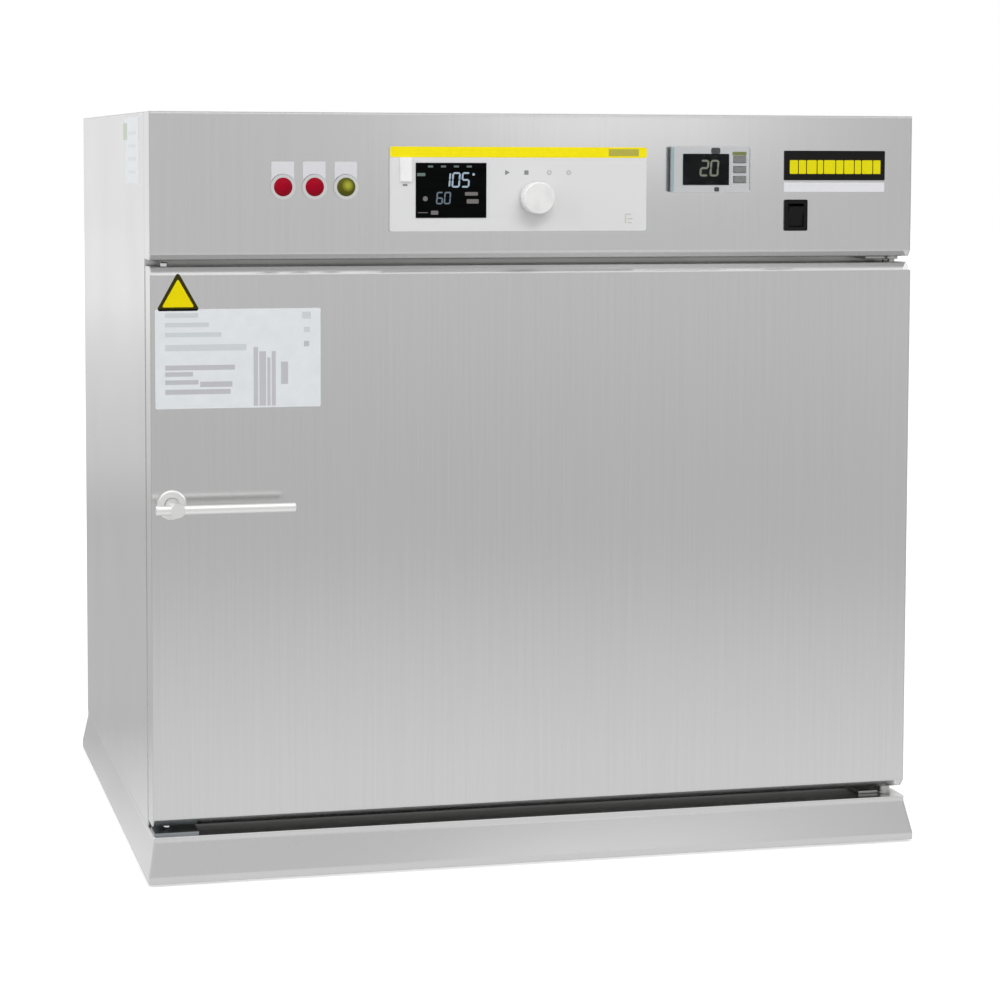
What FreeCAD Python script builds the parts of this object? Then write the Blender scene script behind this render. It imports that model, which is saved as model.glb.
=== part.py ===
import FreeCAD, Part
import math
import os

# Bench drying oven: a folded stainless cabinet on a flared plinth, a control box
# across the top, a hinged insulated door with a two-point rod lock, and a heated
# chamber with forced air circulation.
# Millimetres. X runs to the right, Y to the back, Z up. The origin is on the floor
# under the middle of the overall box, handle and exhaust spigot included.

V = FreeCAD.Vector
AXIS_X = V(1, 0, 0)
AXIS_Y = V(0, 1, 0)
AXIS_Z = V(0, 0, 1)

# Cabinet
WIDTH = 900.0
HEIGHT = 865.0
BODY_DEPTH = 680.0
SHEET = 1.2
FLANGE = 15.0
VENT_SLOTS = 9
VENT_SLOT_WIDTH = 6.0
VENT_SLOT_LENGTH = 60.0
VENT_PITCH = 18.0
VENT_X = 250.0
VENT_BELOW_TOP = 385.0
SCREW_RADIUS = 4.0
SCREW_CROWN = 2.8
SCREW_HEAD = 2.2
SCREW_ROWS = 5
SCREW_INSET = 22.0

# Plinth and feet
FOOT_LIFT = 3.0
FOOT_RADIUS = 19.0
FOOT_INSET = 42.0
PLINTH_TOP = 53.0
PLINTH_SHEET = 1.5
LIP_HEIGHT = 8.0
FLARE_HEIGHT = 36.0
FLARE_OUT = 7.0
FLARE_FRONT = 12.0
PLINTH_NOSE = 5.0
PLINTH_CORNER = 3.0
GUSSET = 90.0

# Door
DOOR_THICK = 42.0
DOOR_GAP = 8.0
DOOR_UNDER_GAP = 10.0
DOOR_OVER_GAP = 7.0
DOOR_BEVEL = 9.0
DOOR_LINER_SHEET = 1.0
PLUG_DEPTH = 20.0
PLUG_CLEARANCE = 8.0
PLUG_DRAFT = 4.0
LOCK_CHANNEL = 55.0
HINGE_CHANNEL = 42.0

# Chamber
CHAMBER_WIDTH = 650.0
CHAMBER_DEPTH = 392.0
CHAMBER_FLOOR = 131.0
CHAMBER_ROOF_SPACE = 69.0
LINER_SHEET = 1.0
LINER_FLANGE = 12.0
FAN_SPACE = 96.0
REAR_INSULATION = 80.0
GASKET_INSET = 6.0
GASKET_WIDTH = 14.0

# Control box
FASCIA_HEIGHT = 165.0
FASCIA_SETBACK = 1.5
FASCIA_BEVEL = 7.0

# Door lock
PIVOT_FROM_EDGE = 22.5
PIVOT_ABOVE_SILL = 365.0
LEVER_REACH = 51.0
BAR_RADIUS = 5.25
BAR_OVERHANG = 23.5
BAR_LENGTH = 155.0
BAR_EDGE = 1.0
NECK_RADIUS = 8.0
NECK_PROUD = 0.75
ROSETTE_RADIUS = 16.5
ROSETTE_THICK = 6.0
ROSETTE_EDGE = 1.5
SPINDLE_RADIUS = 6.0
SPACER_RADIUS = 7.5
GEAR_MODULE = 1.25
GEAR_TEETH = 16
PRESSURE_ANGLE = math.radians(20)
RACK_ADDENDUM = 0.9
GEAR_DEDENDUM = 1.25
BACKLASH = 0.3
GEAR_WIDTH = 12.0
GEAR_FRONT = 12.0
FLANK_STEPS = 3
RACK_BACKING = 4.6
RACK_REACH_BACK = 23.5
RACK_REACH_AHEAD = 7.9
JOG_START = 13.5
JOG_HEIGHT = 11.0
ROD_RADIUS = 4.0
ROD_FROM_EDGE = 18.0
ROD_SHOWS_TOP = 4.5
ROD_SHOWS_BOTTOM = 4.0
ROD_CHAMFER = 1.0
CASE_WALL = 2.0
CASE_WIDTH = 42.5
CASE_DEPTH = 32.5
CASE_HALF_HEIGHT = 42.0
CASE_SIDE_GAP = 0.5
KEEPER_HALF = 8.0
KEEPER_DEPTH = 18.0
KEEPER_PLATE = 3.0
KEEPER_PLATE_WIDTH = 50.0
KEEPER_PLATE_DEPTH = 38.0
KEEPER_PLATE_IN = 2.0

# Hinges
HINGE_FROM_EDGE = 18.0
HINGE_FROM_FRONT = 17.0
HINGE_PIN_RADIUS = 4.0
HINGE_PIN_LENGTH = 24.0
HINGE_PLATE = 3.5
HINGE_LUG_RADIUS = 8.0
HINGE_PLATE_REACH = 32.0
BUSH_WIDTH = 20.0
BUSH_AHEAD = 7.0
BUSH_BEHIND = 13.0
BUSH_HEIGHT = 26.0
THRUST_RADIUS = 7.0

# Fan, motor and heater
WHEEL_RADIUS = 112.0
WHEEL_EYE = 74.0
WHEEL_WIDTH = 46.0
WHEEL_SHEET = 1.5
WHEEL_FROM_LINER = 18.0
BLADES = 12
BLADE_SHEET = 2.0
BLADE_INNER = 70.0
BLADE_LEAN = math.radians(32)
BLADE_BOW = 5.0
HUB_RADIUS = 16.0
HUB_BEHIND = 4.0
SHAFT_RADIUS = 5.0
SHAFT_HOLE = 8.0
SHAFT_NOSE = 4.0
MOTOR_RADIUS = 46.0
MOTOR_LENGTH = 72.0
MOTOR_FLANGE = 6.0
MOTOR_FLANGE_RADIUS = 58.0
MOTOR_FINS = 6
MOTOR_FIN = 2.5
MOTOR_FIN_HEIGHT = 4.0
SHAFT_IN_MOTOR = 44.0
SHAFT_END_GAP = 1.0
HEATER_RADIUS = 132.0
HEATER_TUBE = 4.0
HEATER_END = 16.0
HEATER_COLLAR = 8.0
COLLAR_THICK = 3.0
LEAD_TAIL = 24.0
PROBE_RADIUS = 2.0
PROBE_SPREAD = 40.0
PROBE_BELOW_ROOF = 30.0
PROBE_IN_CHAMBER = 24.0
BAFFLE_SHEET = 1.0
BAFFLE_SIDE_GAP = 0.5
BAFFLE_FLANGE = 14.0
EYE_RINGS = 4
EYE_HOLE = 8.0
EYE_RING_PITCH = 19.0
OUTLET_SLOTS = 12
OUTLET_SLOT = [40.0, 12.0]
OUTLET_FROM_SIDE = 30.0

# Shelves
RACK_POST = 6.0
RACK_FRONT = 45.0
RACK_SPACING = 280.0
RACK_MARGIN = 22.0
RAIL_MARGIN = 44.0
RAIL_LEVELS = 6
RAIL_DEPTH = 9.0
RAIL_SHEET = 1.5
SHELF_CLEAR = 2.0
SHELF_FRAME = 3.5
SHELF_CROSSBAR = 2.8
SHELF_WIRE = 1.5
SHELF_WIRES = 17
SHELF_DEPTH = 356.0
SHELF_FROM_BAFFLE = 8.0
SHELF_LEVELS = [1, 3]
SHELF_LIFT = 0.3

# Rear: exhaust, fresh air inlet and mains gland
SPIGOT_RADIUS = 40.0
SPIGOT_LENGTH = 40.0
DAMPER_COLLAR = 45.0
DAMPER_COLLAR_LENGTH = 30.0
PIPE_WALL = 1.5
PIPE_FLANGE = 60.0
PIPE_FLANGE_THICK = 2.0
EXHAUST_X = -210.0
EXHAUST_BELOW_ROOF = 71.0
DAMPER_THICK = 1.5
DAMPER_MARGIN = 0.7
DAMPER_SPINDLE = 3.0
DAMPER_SEAT = 2.0
DAMPER_END_GAP = 0.3
DAMPER_SPINDLE_OUT = 6.0
DAMPER_LEVER = 34.0
DAMPER_LEVER_WIDTH = 10.0
DAMPER_LEVER_THICK = 3.0
INLET_RADIUS = 16.0
INLET_REACH = 14.0
INLET_FLANGE = 25.0
INLET_BARS = 3
INLET_BAR = 3.0
INLET_BAR_PITCH = 8.0
INLET_BAR_DEEP = 2.0
INLET_X = 210.0
INLET_ABOVE_FLOOR = 69.0
GLAND_RADIUS = 12.5
GLAND_BORE = 6.0
GLAND_LENGTH = 24.0
GLAND_NUT = 16.0
GLAND_NUT_THICK = 6.0
GLAND_THREAD = 9.0
GLAND_DOME = [14.5, 9.5]
GLAND_X = 340.0
GLAND_BELOW_TOP = 90.0

# Lamps
LAMP_FROM_LEFT = 149.0
LAMP_PITCH = 35.75
LAMP_BELOW_TOP = 83.5
LAMP_LENS = 10.5
LAMP_BEZEL = 14.0
LAMP_BEZEL_OUT = 3.0
LAMP_SEAT = 2.0
LAMP_DOME = 4.5
LAMP_BODY = 32.0
LAMP_NUT = 6.0

# Controller
PANEL_FROM_LEFT = 270.5
PANEL_WIDTH = 301.5
PANEL_BELOW_TOP = 38.0
PANEL_HEIGHT = 95.5
PANEL_THICK = 4.0
PANEL_CORNER = 2.5
DISPLAY_IN = 29.5
DISPLAY_DOWN = 18.2
DISPLAY_WIDTH = 82.0
DISPLAY_HEIGHT = 62.2
WINDOW_THICK = 2.0
WINDOW_SUNK = 1.4
CONTROLLER_WIDTH = 200.0
CONTROLLER_HEIGHT = 80.0
CONTROLLER_DEPTH = 34.0
KNOB_IN = 169.5
KNOB_DOWN = 58.0
KNOB_RADIUS = 18.5
KNOB_HEIGHT = 16.0
KNOB_GAP = 2.2
KNOB_EDGE = 1.5
KNOB_GRIPS = 18
KNOB_FLUTE = 1.6
KNOB_FLUTE_OUT = 1.1
ENCODER_RADIUS = 3.0
USB_IN = 11.5
USB_DOWN = 12.3
USB_COVER_WIDTH = 13.0
USB_COVER_HEIGHT = 27.0
USB_COVER_THICK = 2.0
USB_PORT = [5.0, 13.0, 12.0]
USB_PIN = 0.9
USB_PIN_CLEAR = 0.3
USB_COVER_CORNER = 1.0

# Temperature limiter
LIMITER_FROM_LEFT = 602.0
LIMITER_WIDTH = 96.0
LIMITER_BELOW_TOP = 36.5
LIMITER_HEIGHT = 53.0
LIMITER_THICK = 4.0
LIMITER_DEPTH = 40.0
LIMITER_RIM = 4.0
LIMITER_SCREEN_IN = 13.8
LIMITER_SCREEN = [56.0, 36.0]
LIMITER_KEY = [15.0, 7.0]
LIMITER_KEY_IN = 75.5
LIMITER_KEY_PITCH = 11.5
LIMITER_KEYS = 3
KEY_PROUD = 1.2
KEY_TRAVEL = 0.8
KEY_CLEAR = 0.4
KEY_CORNER = 1.5
COVER_SHEET = 1.2
COVER_DEPTH = 6.0
COVER_PIN = 1.5

# Switch and badge
SWITCH_FROM_LEFT = 741.5
SWITCH_WIDTH = 28.5
SWITCH_HEIGHT = 36.5
SWITCH_BELOW_TOP = 98.0
SWITCH_OUT = 2.0
SWITCH_DEPTH = 24.0
SWITCH_RIM = 3.5
SWITCH_WALL = 1.2
SWITCH_FLOOR = 2.0
ROCKER_PIVOT = 5.0
ROCKER_FACE = 7.0
ROCKER_DIP = 1.5
ROCKER_WING = 4.0
ROCKER_FOOT = [3.0, 4.0]
ROCKER_HALF = 11.5
ROCKER_TILT = 12.0
ROCKER_PIN = 1.5
BADGE_FROM_LEFT = 741.0
BADGE_WIDTH = 125.0
BADGE_BELOW_TOP = 41.0
BADGE_HEIGHT = 34.5
BADGE_THICK = 1.5
BADGE_CORNER = 1.0

# Power module in the control box
SINK_PLACE = [120.0, 60.0]
SINK_WIDTH = 110.0
SINK_LENGTH = 120.0
SINK_HEIGHT = 62.0
SINK_BASE = 12.0
SINK_FINS = 9
SINK_FIN = 3.0
RELAY_DEPTH = 40.0
RELAY_HEIGHT = 45.0

# Fits
RUNNING = 0.05
CLEAR = 0.4
HOLE_CLEAR = 0.6

# Planes that the pieces share
LEFT = -WIDTH / 2
RIGHT = WIDTH / 2
HANDLE_FRONT = LEVER_REACH + BAR_RADIUS + NECK_PROUD
REAR_REACH = DAMPER_COLLAR_LENGTH + SPIGOT_LENGTH
OVERALL_DEPTH = HANDLE_FRONT + DOOR_THICK + DOOR_GAP + BODY_DEPTH + REAR_REACH
DOOR_FRONT = HANDLE_FRONT - OVERALL_DEPTH / 2
DOOR_BACK = DOOR_FRONT + DOOR_THICK
BODY_FRONT = DOOR_BACK + DOOR_GAP
BODY_BACK = BODY_FRONT + BODY_DEPTH
FRAME_FRONT = BODY_FRONT + SHEET
LINER_FRONT = FRAME_FRONT + SHEET
BAFFLE_Y = LINER_FRONT + CHAMBER_DEPTH
LINER_BACK = BAFFLE_Y + FAN_SPACE
INNER_BACK = LINER_BACK + REAR_INSULATION
FASCIA_FRONT = DOOR_FRONT + FASCIA_SETBACK
FASCIA_BOTTOM = HEIGHT - FASCIA_HEIGHT
DOOR_TOP = FASCIA_BOTTOM - DOOR_OVER_GAP
DOOR_BOTTOM = PLINTH_TOP + DOOR_UNDER_GAP
CHAMBER_TOP = FASCIA_BOTTOM - CHAMBER_ROOF_SPACE
CHAMBER_HEIGHT = CHAMBER_TOP - CHAMBER_FLOOR
MOUTH = CHAMBER_WIDTH / 2
HINGE_X = RIGHT - HINGE_FROM_EDGE
HINGE_Y = DOOR_FRONT + HINGE_FROM_FRONT
PIVOT_X = LEFT + PIVOT_FROM_EDGE
PIVOT_Z = DOOR_BOTTOM + PIVOT_ABOVE_SILL
GEAR_Y = DOOR_FRONT + GEAR_FRONT
GEAR_RADIUS = GEAR_MODULE * GEAR_TEETH / 2
ROD_X = LEFT + ROD_FROM_EDGE
ROD_Y = GEAR_Y + GEAR_WIDTH / 2
FAN_Z = CHAMBER_FLOOR + CHAMBER_HEIGHT / 2
WHEEL_BACK = LINER_BACK - WHEEL_FROM_LINER
EXHAUST_Z = CHAMBER_TOP - EXHAUST_BELOW_ROOF
INLET_Z = CHAMBER_FLOOR + INLET_ABOVE_FLOOR
DAMPER_Y = BODY_BACK + DAMPER_COLLAR_LENGTH / 2


def box(x0, x1, y0, y1, z0, z1):
    return Part.makeBox(x1 - x0, y1 - y0, z1 - z0, V(x0, y0, z0))


def rod(radius, start, axis, length):
    return Part.makeCylinder(radius, length, start, axis)


def tube(outer, inner, start, axis, length):
    return rod(outer, start, axis, length).cut(rod(inner, start, axis, length))


def cone(radius0, radius1, start, axis, length):
    return Part.makeCone(radius0, radius1, length, start, axis)


def face_of(points):
    return Part.Face(Part.makePolygon(points + [points[0]]))


def rounded_outline(x0, x1, y0, y1, radius, z):
    """A level rectangle with round corners."""
    cut = radius * (1 - math.sqrt(0.5))
    arcs = [
        [V(x0, y0 + radius, z), V(x0 + cut, y0 + cut, z), V(x0 + radius, y0, z)],
        [V(x1 - radius, y0, z), V(x1 - cut, y0 + cut, z), V(x1, y0 + radius, z)],
        [V(x1, y1 - radius, z), V(x1 - cut, y1 - cut, z), V(x1 - radius, y1, z)],
        [V(x0 + radius, y1, z), V(x0 + cut, y1 - cut, z), V(x0, y1 - radius, z)],
    ]
    edges = []
    for i, arc in enumerate(arcs):
        edges.append(Part.Arc(*arc).toShape())
        edges.append(Part.LineSegment(arc[2], arcs[(i + 1) % 4][0]).toShape())
    return Part.Wire(edges)


def rounded_plate(x0, x1, y0, y1, z0, z1, radius):
    """A plate that faces the front, with round corners."""
    flat = Part.Face(rounded_outline(x0, x1, z0, z1, radius, 0))
    plate = flat.extrude(V(0, 0, y1 - y0))
    plate.rotate(V(0, 0, 0), AXIS_X, 90)
    plate.translate(V(0, y1, 0))
    return plate


def tapered_block(x0, x1, y0, y1, z0, z1, draft):
    """A block whose back face is smaller than its front one by draft all round."""
    def outline(y, inset):
        return Part.makePolygon([
            V(x0 + inset, y, z0 + inset), V(x1 - inset, y, z0 + inset),
            V(x1 - inset, y, z1 - inset), V(x0 + inset, y, z1 - inset),
            V(x0 + inset, y, z0 + inset)])
    return Part.makeLoft([outline(y0, 0), outline(y1, draft)], True, True)


def bevelled_block(x0, x1, y0, y1, z0, z1, low, high):
    """A block whose front face is cut back at its lower edge and its upper edge."""
    points = [V(x0, y0, z0 + low), V(x0, y0, z1 - high)]
    if high > 0:
        points.append(V(x0, y0 + high, z1))
    points += [V(x0, y1, z1), V(x0, y1, z0)]
    if low > 0:
        points.append(V(x0, y0 + low, z0))
    return face_of(points).extrude(V(x1 - x0, 0, 0))


def inner_bevel(bevel, sheet):
    """The bevel on the inside of a sheet that is folded along a bevel."""
    return bevel - (2 - math.sqrt(2)) * sheet if bevel > 0 else 0


def front_pan(y0, y1, z0, z1, low, high):
    """A folded sheet pan over the whole width, open at the back."""
    outer = bevelled_block(LEFT, RIGHT, y0, y1, z0, z1, low, high)
    inner = bevelled_block(LEFT + SHEET, RIGHT - SHEET, y0 + SHEET, y1 + SHEET, z0 + SHEET,
                           z1 - SHEET, inner_bevel(low, SHEET), inner_bevel(high, SHEET))
    return outer.cut(inner)


def fuse(shapes):
    joined = shapes[0]
    if len(shapes) > 1:
        joined = joined.fuse(shapes[1:])
    return joined.removeSplitter()


def cut_all(shape, tools):
    return shape.cut(tools) if tools else shape


def group(shapes):
    return Part.makeCompound(shapes)


def mirror_x(shape):
    return shape.mirror(V(0, 0, 0), AXIS_X)


def ring_plate(x0, x1, y0, y1, z0, z1, width):
    """A rectangular frame that faces the front, width wide on each side."""
    hole = box(x0 + width, x1 - width, y0, y1, z0 + width, z1 - width)
    return box(x0, x1, y0, y1, z0, z1).cut(hole)


# Plinth and feet


def plinth_form(inset):
    """The plinth's outer form, drawn in by inset on every wall."""
    corner = PLINTH_CORNER - inset / 2
    narrow = [LEFT + inset, RIGHT - inset, DOOR_FRONT - PLINTH_NOSE + inset, BODY_BACK - inset, corner]
    wide = [narrow[0] - FLARE_OUT, narrow[1] + FLARE_OUT, narrow[2] - FLARE_FRONT,
            narrow[3] + FLARE_OUT, corner]
    lip = FOOT_LIFT + LIP_HEIGHT
    flare = lip + FLARE_HEIGHT
    stages = [[wide, FOOT_LIFT, wide, lip], [wide, lip, narrow, flare], [narrow, flare, narrow, PLINTH_TOP]]
    parts = []
    for low, z0, high, z1 in stages:
        parts.append(Part.makeLoft([rounded_outline(*low, z0), rounded_outline(*high, z1)], True, True))
    return fuse(parts)


def foot_places():
    x = RIGHT - FOOT_INSET
    y0 = DOOR_FRONT + FOOT_INSET
    y1 = BODY_BACK - FOOT_INSET
    return [V(-x, y0, 0), V(x, y0, 0), V(x, y1, 0), V(-x, y1, 0)]


def base_plinth():
    form = plinth_form(0)
    hollow = plinth_form(PLINTH_SHEET)
    deck = box(2 * LEFT, 2 * RIGHT, 2 * DOOR_FRONT, 2 * BODY_BACK, PLINTH_TOP - PLINTH_SHEET, PLINTH_TOP)
    shell = form.cut(hollow.cut(deck))
    gussets = []
    for place in foot_places():
        x = [place.x - math.copysign(GUSSET, place.x) / 2, place.x + math.copysign(GUSSET, place.x)]
        y = [place.y - math.copysign(GUSSET, place.y) / 2, place.y + math.copysign(GUSSET, place.y)]
        pad = box(min(x), max(x), min(y), max(y), FOOT_LIFT, FOOT_LIFT + PLINTH_SHEET)
        gussets.append(pad.common(form))
    shell = fuse([shell] + gussets)
    return shell.cut(rod(ROD_RADIUS + HOLE_CLEAR, V(ROD_X, ROD_Y, PLINTH_TOP - FLANGE), AXIS_Z, FLANGE))


def rubber_feet():
    chamfer = FOOT_LIFT / 2
    feet = []
    for place in foot_places():
        tread = cone(FOOT_RADIUS - chamfer, FOOT_RADIUS, place, AXIS_Z, chamfer)
        seat = rod(FOOT_RADIUS, place + V(0, 0, chamfer), AXIS_Z, FOOT_LIFT - chamfer)
        feet.append(fuse([tread, seat]))
    return group(feet)


# Cabinet sheets


def side_panel():
    """The left side; the right one is its mirror."""
    top = HEIGHT - SHEET
    skin = box(LEFT, LEFT + SHEET, BODY_FRONT, BODY_BACK, PLINTH_TOP, top)
    front = box(LEFT, LEFT + FLANGE, BODY_FRONT, FRAME_FRONT, PLINTH_TOP, top)
    rear_y = BODY_BACK - SHEET
    rear = box(LEFT, LEFT + FLANGE, rear_y - SHEET, rear_y, PLINTH_TOP, top)
    roof = box(LEFT, LEFT + FLANGE, BODY_FRONT, rear_y, top - SHEET, top)
    return fuse([skin, front, rear, roof])


def top_cover():
    lid = box(LEFT, RIGHT, FASCIA_FRONT, BODY_BACK, HEIGHT - SHEET, HEIGHT)
    rear_y = BODY_BACK - SHEET
    turned = box(LEFT + FLANGE, RIGHT - FLANGE, rear_y - SHEET, rear_y,
                 HEIGHT - SHEET - FLANGE, HEIGHT - SHEET)
    return fuse([lid, turned])


def vent_slots(z, x):
    slots = []
    first = z - (VENT_SLOTS - 1) * VENT_PITCH / 2
    for i in range(VENT_SLOTS):
        low = first + i * VENT_PITCH
        slots.append(box(x - VENT_SLOT_LENGTH / 2, x + VENT_SLOT_LENGTH / 2, BODY_BACK - FLANGE,
                         BODY_BACK + FLANGE, low, low + VENT_SLOT_WIDTH))
    return slots


def rear_panel():
    sheet = box(LEFT + SHEET, RIGHT - SHEET, BODY_BACK - SHEET, BODY_BACK, PLINTH_TOP, HEIGHT - SHEET)
    start = BODY_BACK - FLANGE
    holes = [
        rod(SPIGOT_RADIUS + HOLE_CLEAR, V(EXHAUST_X, start, EXHAUST_Z), AXIS_Y, 2 * FLANGE),
        rod(INLET_RADIUS + HOLE_CLEAR, V(INLET_X, start, INLET_Z), AXIS_Y, 2 * FLANGE),
        rod(GLAND_RADIUS + HOLE_CLEAR, V(GLAND_X, start, HEIGHT - GLAND_BELOW_TOP), AXIS_Y, 2 * FLANGE),
    ]
    holes += vent_slots(HEIGHT - VENT_BELOW_TOP, VENT_X) + vent_slots(HEIGHT - GLAND_BELOW_TOP, 0)
    return cut_all(sheet, holes)


def rear_screws():
    """Pan-head screws along the edges of the rear panel."""
    x = RIGHT - SCREW_INSET
    low = PLINTH_TOP + SCREW_INSET
    step = (HEIGHT - SCREW_INSET - low) / (SCREW_ROWS - 1)
    heads = []
    for side in (-x, x):
        for i in range(SCREW_ROWS):
            place = V(side, BODY_BACK, low + i * step)
            heads.append(cone(SCREW_RADIUS, SCREW_CROWN, place, AXIS_Y, SCREW_HEAD))
    return group(heads)


def front_frame():
    plate = box(LEFT + SHEET, RIGHT - SHEET, FRAME_FRONT, LINER_FRONT, PLINTH_TOP, FASCIA_BOTTOM)
    mouth = box(-MOUTH, MOUTH, FRAME_FRONT, LINER_FRONT, CHAMBER_FLOOR, CHAMBER_TOP)
    return plate.cut(mouth)


def inner_back_wall():
    wall = box(LEFT + SHEET, RIGHT - SHEET, INNER_BACK, INNER_BACK + SHEET, PLINTH_TOP, FASCIA_BOTTOM)
    return cut_all(wall, rear_service_holes(INNER_BACK - FLANGE, 2 * FLANGE))


def rear_service_holes(y, length):
    """The holes that the shaft, pipes, probes and heater ends pass through."""
    holes = [
        rod(SHAFT_HOLE, V(0, y, FAN_Z), AXIS_Y, length),
        rod(SPIGOT_RADIUS + CLEAR, V(EXHAUST_X, y, EXHAUST_Z), AXIS_Y, length),
        rod(INLET_RADIUS + CLEAR, V(INLET_X, y, INLET_Z), AXIS_Y, length),
    ]
    for x, z in probe_places():
        holes.append(rod(PROBE_RADIUS + CLEAR, V(x, y, z), AXIS_Y, length))
    for x, z in heater_ends():
        holes.append(rod(HEATER_TUBE + CLEAR, V(x, y, z), AXIS_Y, length))
    return holes


def control_tray():
    rear_y = BODY_BACK - SHEET
    return box(LEFT + SHEET, RIGHT - SHEET, BODY_FRONT + SHEET, rear_y - SHEET,
               FASCIA_BOTTOM, FASCIA_BOTTOM + SHEET)


# Control box


def control_fascia():
    pan = front_pan(FASCIA_FRONT, BODY_FRONT, FASCIA_BOTTOM, HEIGHT - SHEET, FASCIA_BEVEL, 0)
    y0 = FASCIA_FRONT - SHEET
    y1 = FASCIA_FRONT + 2 * SHEET
    holes = [controller_cutout(y0, y1), limiter_cutout(y0, y1), switch_cutout(y0, y1)]
    for x, z in lamp_places():
        holes.append(rod(LAMP_LENS + CLEAR, V(x, y0, z), AXIS_Y, y1 - y0))
    holes.append(rod(ROD_RADIUS + HOLE_CLEAR, V(ROD_X, ROD_Y, FASCIA_BOTTOM - SHEET), AXIS_Z, 3 * SHEET))
    return cut_all(pan, holes)


def controller_cutout(y0, y1):
    x0, x1, z0, z1 = controller_box()
    return box(x0 - CLEAR, x1 + CLEAR, y0, y1, z0 - CLEAR, z1 + CLEAR)


def limiter_cutout(y0, y1):
    x0, x1, z0, z1 = limiter_face()
    rim = LIMITER_RIM - CLEAR
    return box(x0 + rim, x1 - rim, y0, y1, z0 + rim, z1 - rim)


def switch_cutout(y0, y1):
    x0, x1, z0, z1 = switch_face()
    rim = SWITCH_RIM - CLEAR
    return box(x0 + rim, x1 - rim, y0, y1, z0 + rim, z1 - rim)


def lamp_places():
    z = HEIGHT - LAMP_BELOW_TOP
    return [(LEFT + LAMP_FROM_LEFT + i * LAMP_PITCH, z) for i in range(3)]


def lamp_bezels():
    """A flange with a recess for the lens, a barrel and a nut behind the sheet."""
    bezels = []
    for x, z in lamp_places():
        front = V(x, FASCIA_FRONT - LAMP_BEZEL_OUT, z)
        flange = rod(LAMP_BEZEL, front, AXIS_Y, LAMP_BEZEL_OUT)
        barrel = rod(LAMP_LENS, V(x, FASCIA_FRONT, z), AXIS_Y, LAMP_BODY)
        nut = rod(LAMP_BEZEL, V(x, FASCIA_FRONT + SHEET, z), AXIS_Y, LAMP_NUT)
        bezels.append(fuse([flange, barrel, nut]).cut(rod(LAMP_LENS, front, AXIS_Y, LAMP_SEAT)))
    return group(bezels)


def lamp_lens(x, z):
    """A shallow dome that stands in the bezel."""
    radius = LAMP_LENS
    sphere_radius = (radius ** 2 + LAMP_DOME ** 2) / (2 * LAMP_DOME)
    foot = FASCIA_FRONT - LAMP_BEZEL_OUT
    ball = Part.makeSphere(sphere_radius, V(x, foot - LAMP_DOME + sphere_radius, z))
    cap = ball.common(box(x - radius, x + radius, foot - LAMP_DOME, foot, z - radius, z + radius))
    seat = rod(radius, V(x, foot, z), AXIS_Y, LAMP_SEAT)
    return fuse([cap, seat])


def controller_panel_face():
    x0 = LEFT + PANEL_FROM_LEFT
    z1 = HEIGHT - PANEL_BELOW_TOP
    return x0, x0 + PANEL_WIDTH, z1 - PANEL_HEIGHT, z1


def display_face():
    x0, _, _, z1 = controller_panel_face()
    x0 += DISPLAY_IN
    z1 -= DISPLAY_DOWN
    return x0, x0 + DISPLAY_WIDTH, z1 - DISPLAY_HEIGHT, z1


def knob_place():
    x0, _, _, z1 = controller_panel_face()
    return x0 + KNOB_IN, z1 - KNOB_DOWN


def usb_face():
    x0, _, _, z1 = controller_panel_face()
    x0 += USB_IN
    z1 -= USB_DOWN
    return x0, x0 + USB_COVER_WIDTH, z1 - USB_COVER_HEIGHT, z1


def usb_port():
    """The port's box: five wide, twelve deep."""
    x0, x1, z0, z1 = usb_face()
    mid_x = (x0 + x1) / 2
    mid_z = (z0 + z1) / 2
    wide, tall, deep = USB_PORT
    front = FASCIA_FRONT - PANEL_THICK
    return box(mid_x - wide / 2, mid_x + wide / 2, front, front + deep, mid_z - tall / 2, mid_z + tall / 2)


def usb_pin_place():
    x0, _, z0, _ = usb_face()
    return V(x0 + USB_PIN, FASCIA_FRONT - PANEL_THICK - USB_PIN - USB_PIN_CLEAR, z0)


def controller_panel():
    """The moulded front plate, with the window's seat, the port and the encoder hole."""
    x0, x1, z0, z1 = controller_panel_face()
    plate = rounded_plate(x0, x1, FASCIA_FRONT - PANEL_THICK, FASCIA_FRONT, z0, z1, PANEL_CORNER)
    a0, a1, b0, b1 = display_face()
    front = FASCIA_FRONT - PANEL_THICK
    seat = box(a0, a1, front, front + WINDOW_SUNK, b0, b1)
    knob_x, knob_z = knob_place()
    shaft = rod(ENCODER_RADIUS + CLEAR, V(knob_x, front, knob_z), AXIS_Y, PANEL_THICK)
    return cut_all(plate, [seat, shaft, usb_port()])


def display_window():
    x0, x1, z0, z1 = display_face()
    back = FASCIA_FRONT - PANEL_THICK + WINDOW_SUNK
    return box(x0, x1, back - WINDOW_THICK, back, z0, z1)


def controller_box():
    x0, _, z0, z1 = controller_panel_face()
    middle = (z0 + z1) / 2
    x0 += USB_IN / 2
    return x0, x0 + CONTROLLER_WIDTH, middle - CONTROLLER_HEIGHT / 2, middle + CONTROLLER_HEIGHT / 2


def controller_housing():
    x0, x1, z0, z1 = controller_box()
    body = box(x0, x1, FASCIA_FRONT, FASCIA_FRONT + CONTROLLER_DEPTH, z0, z1)
    knob_x, knob_z = knob_place()
    shaft = rod(ENCODER_RADIUS + RUNNING, V(knob_x, FASCIA_FRONT, knob_z), AXIS_Y, CONTROLLER_DEPTH / 2)
    return cut_all(body, [shaft, usb_port()])


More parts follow.
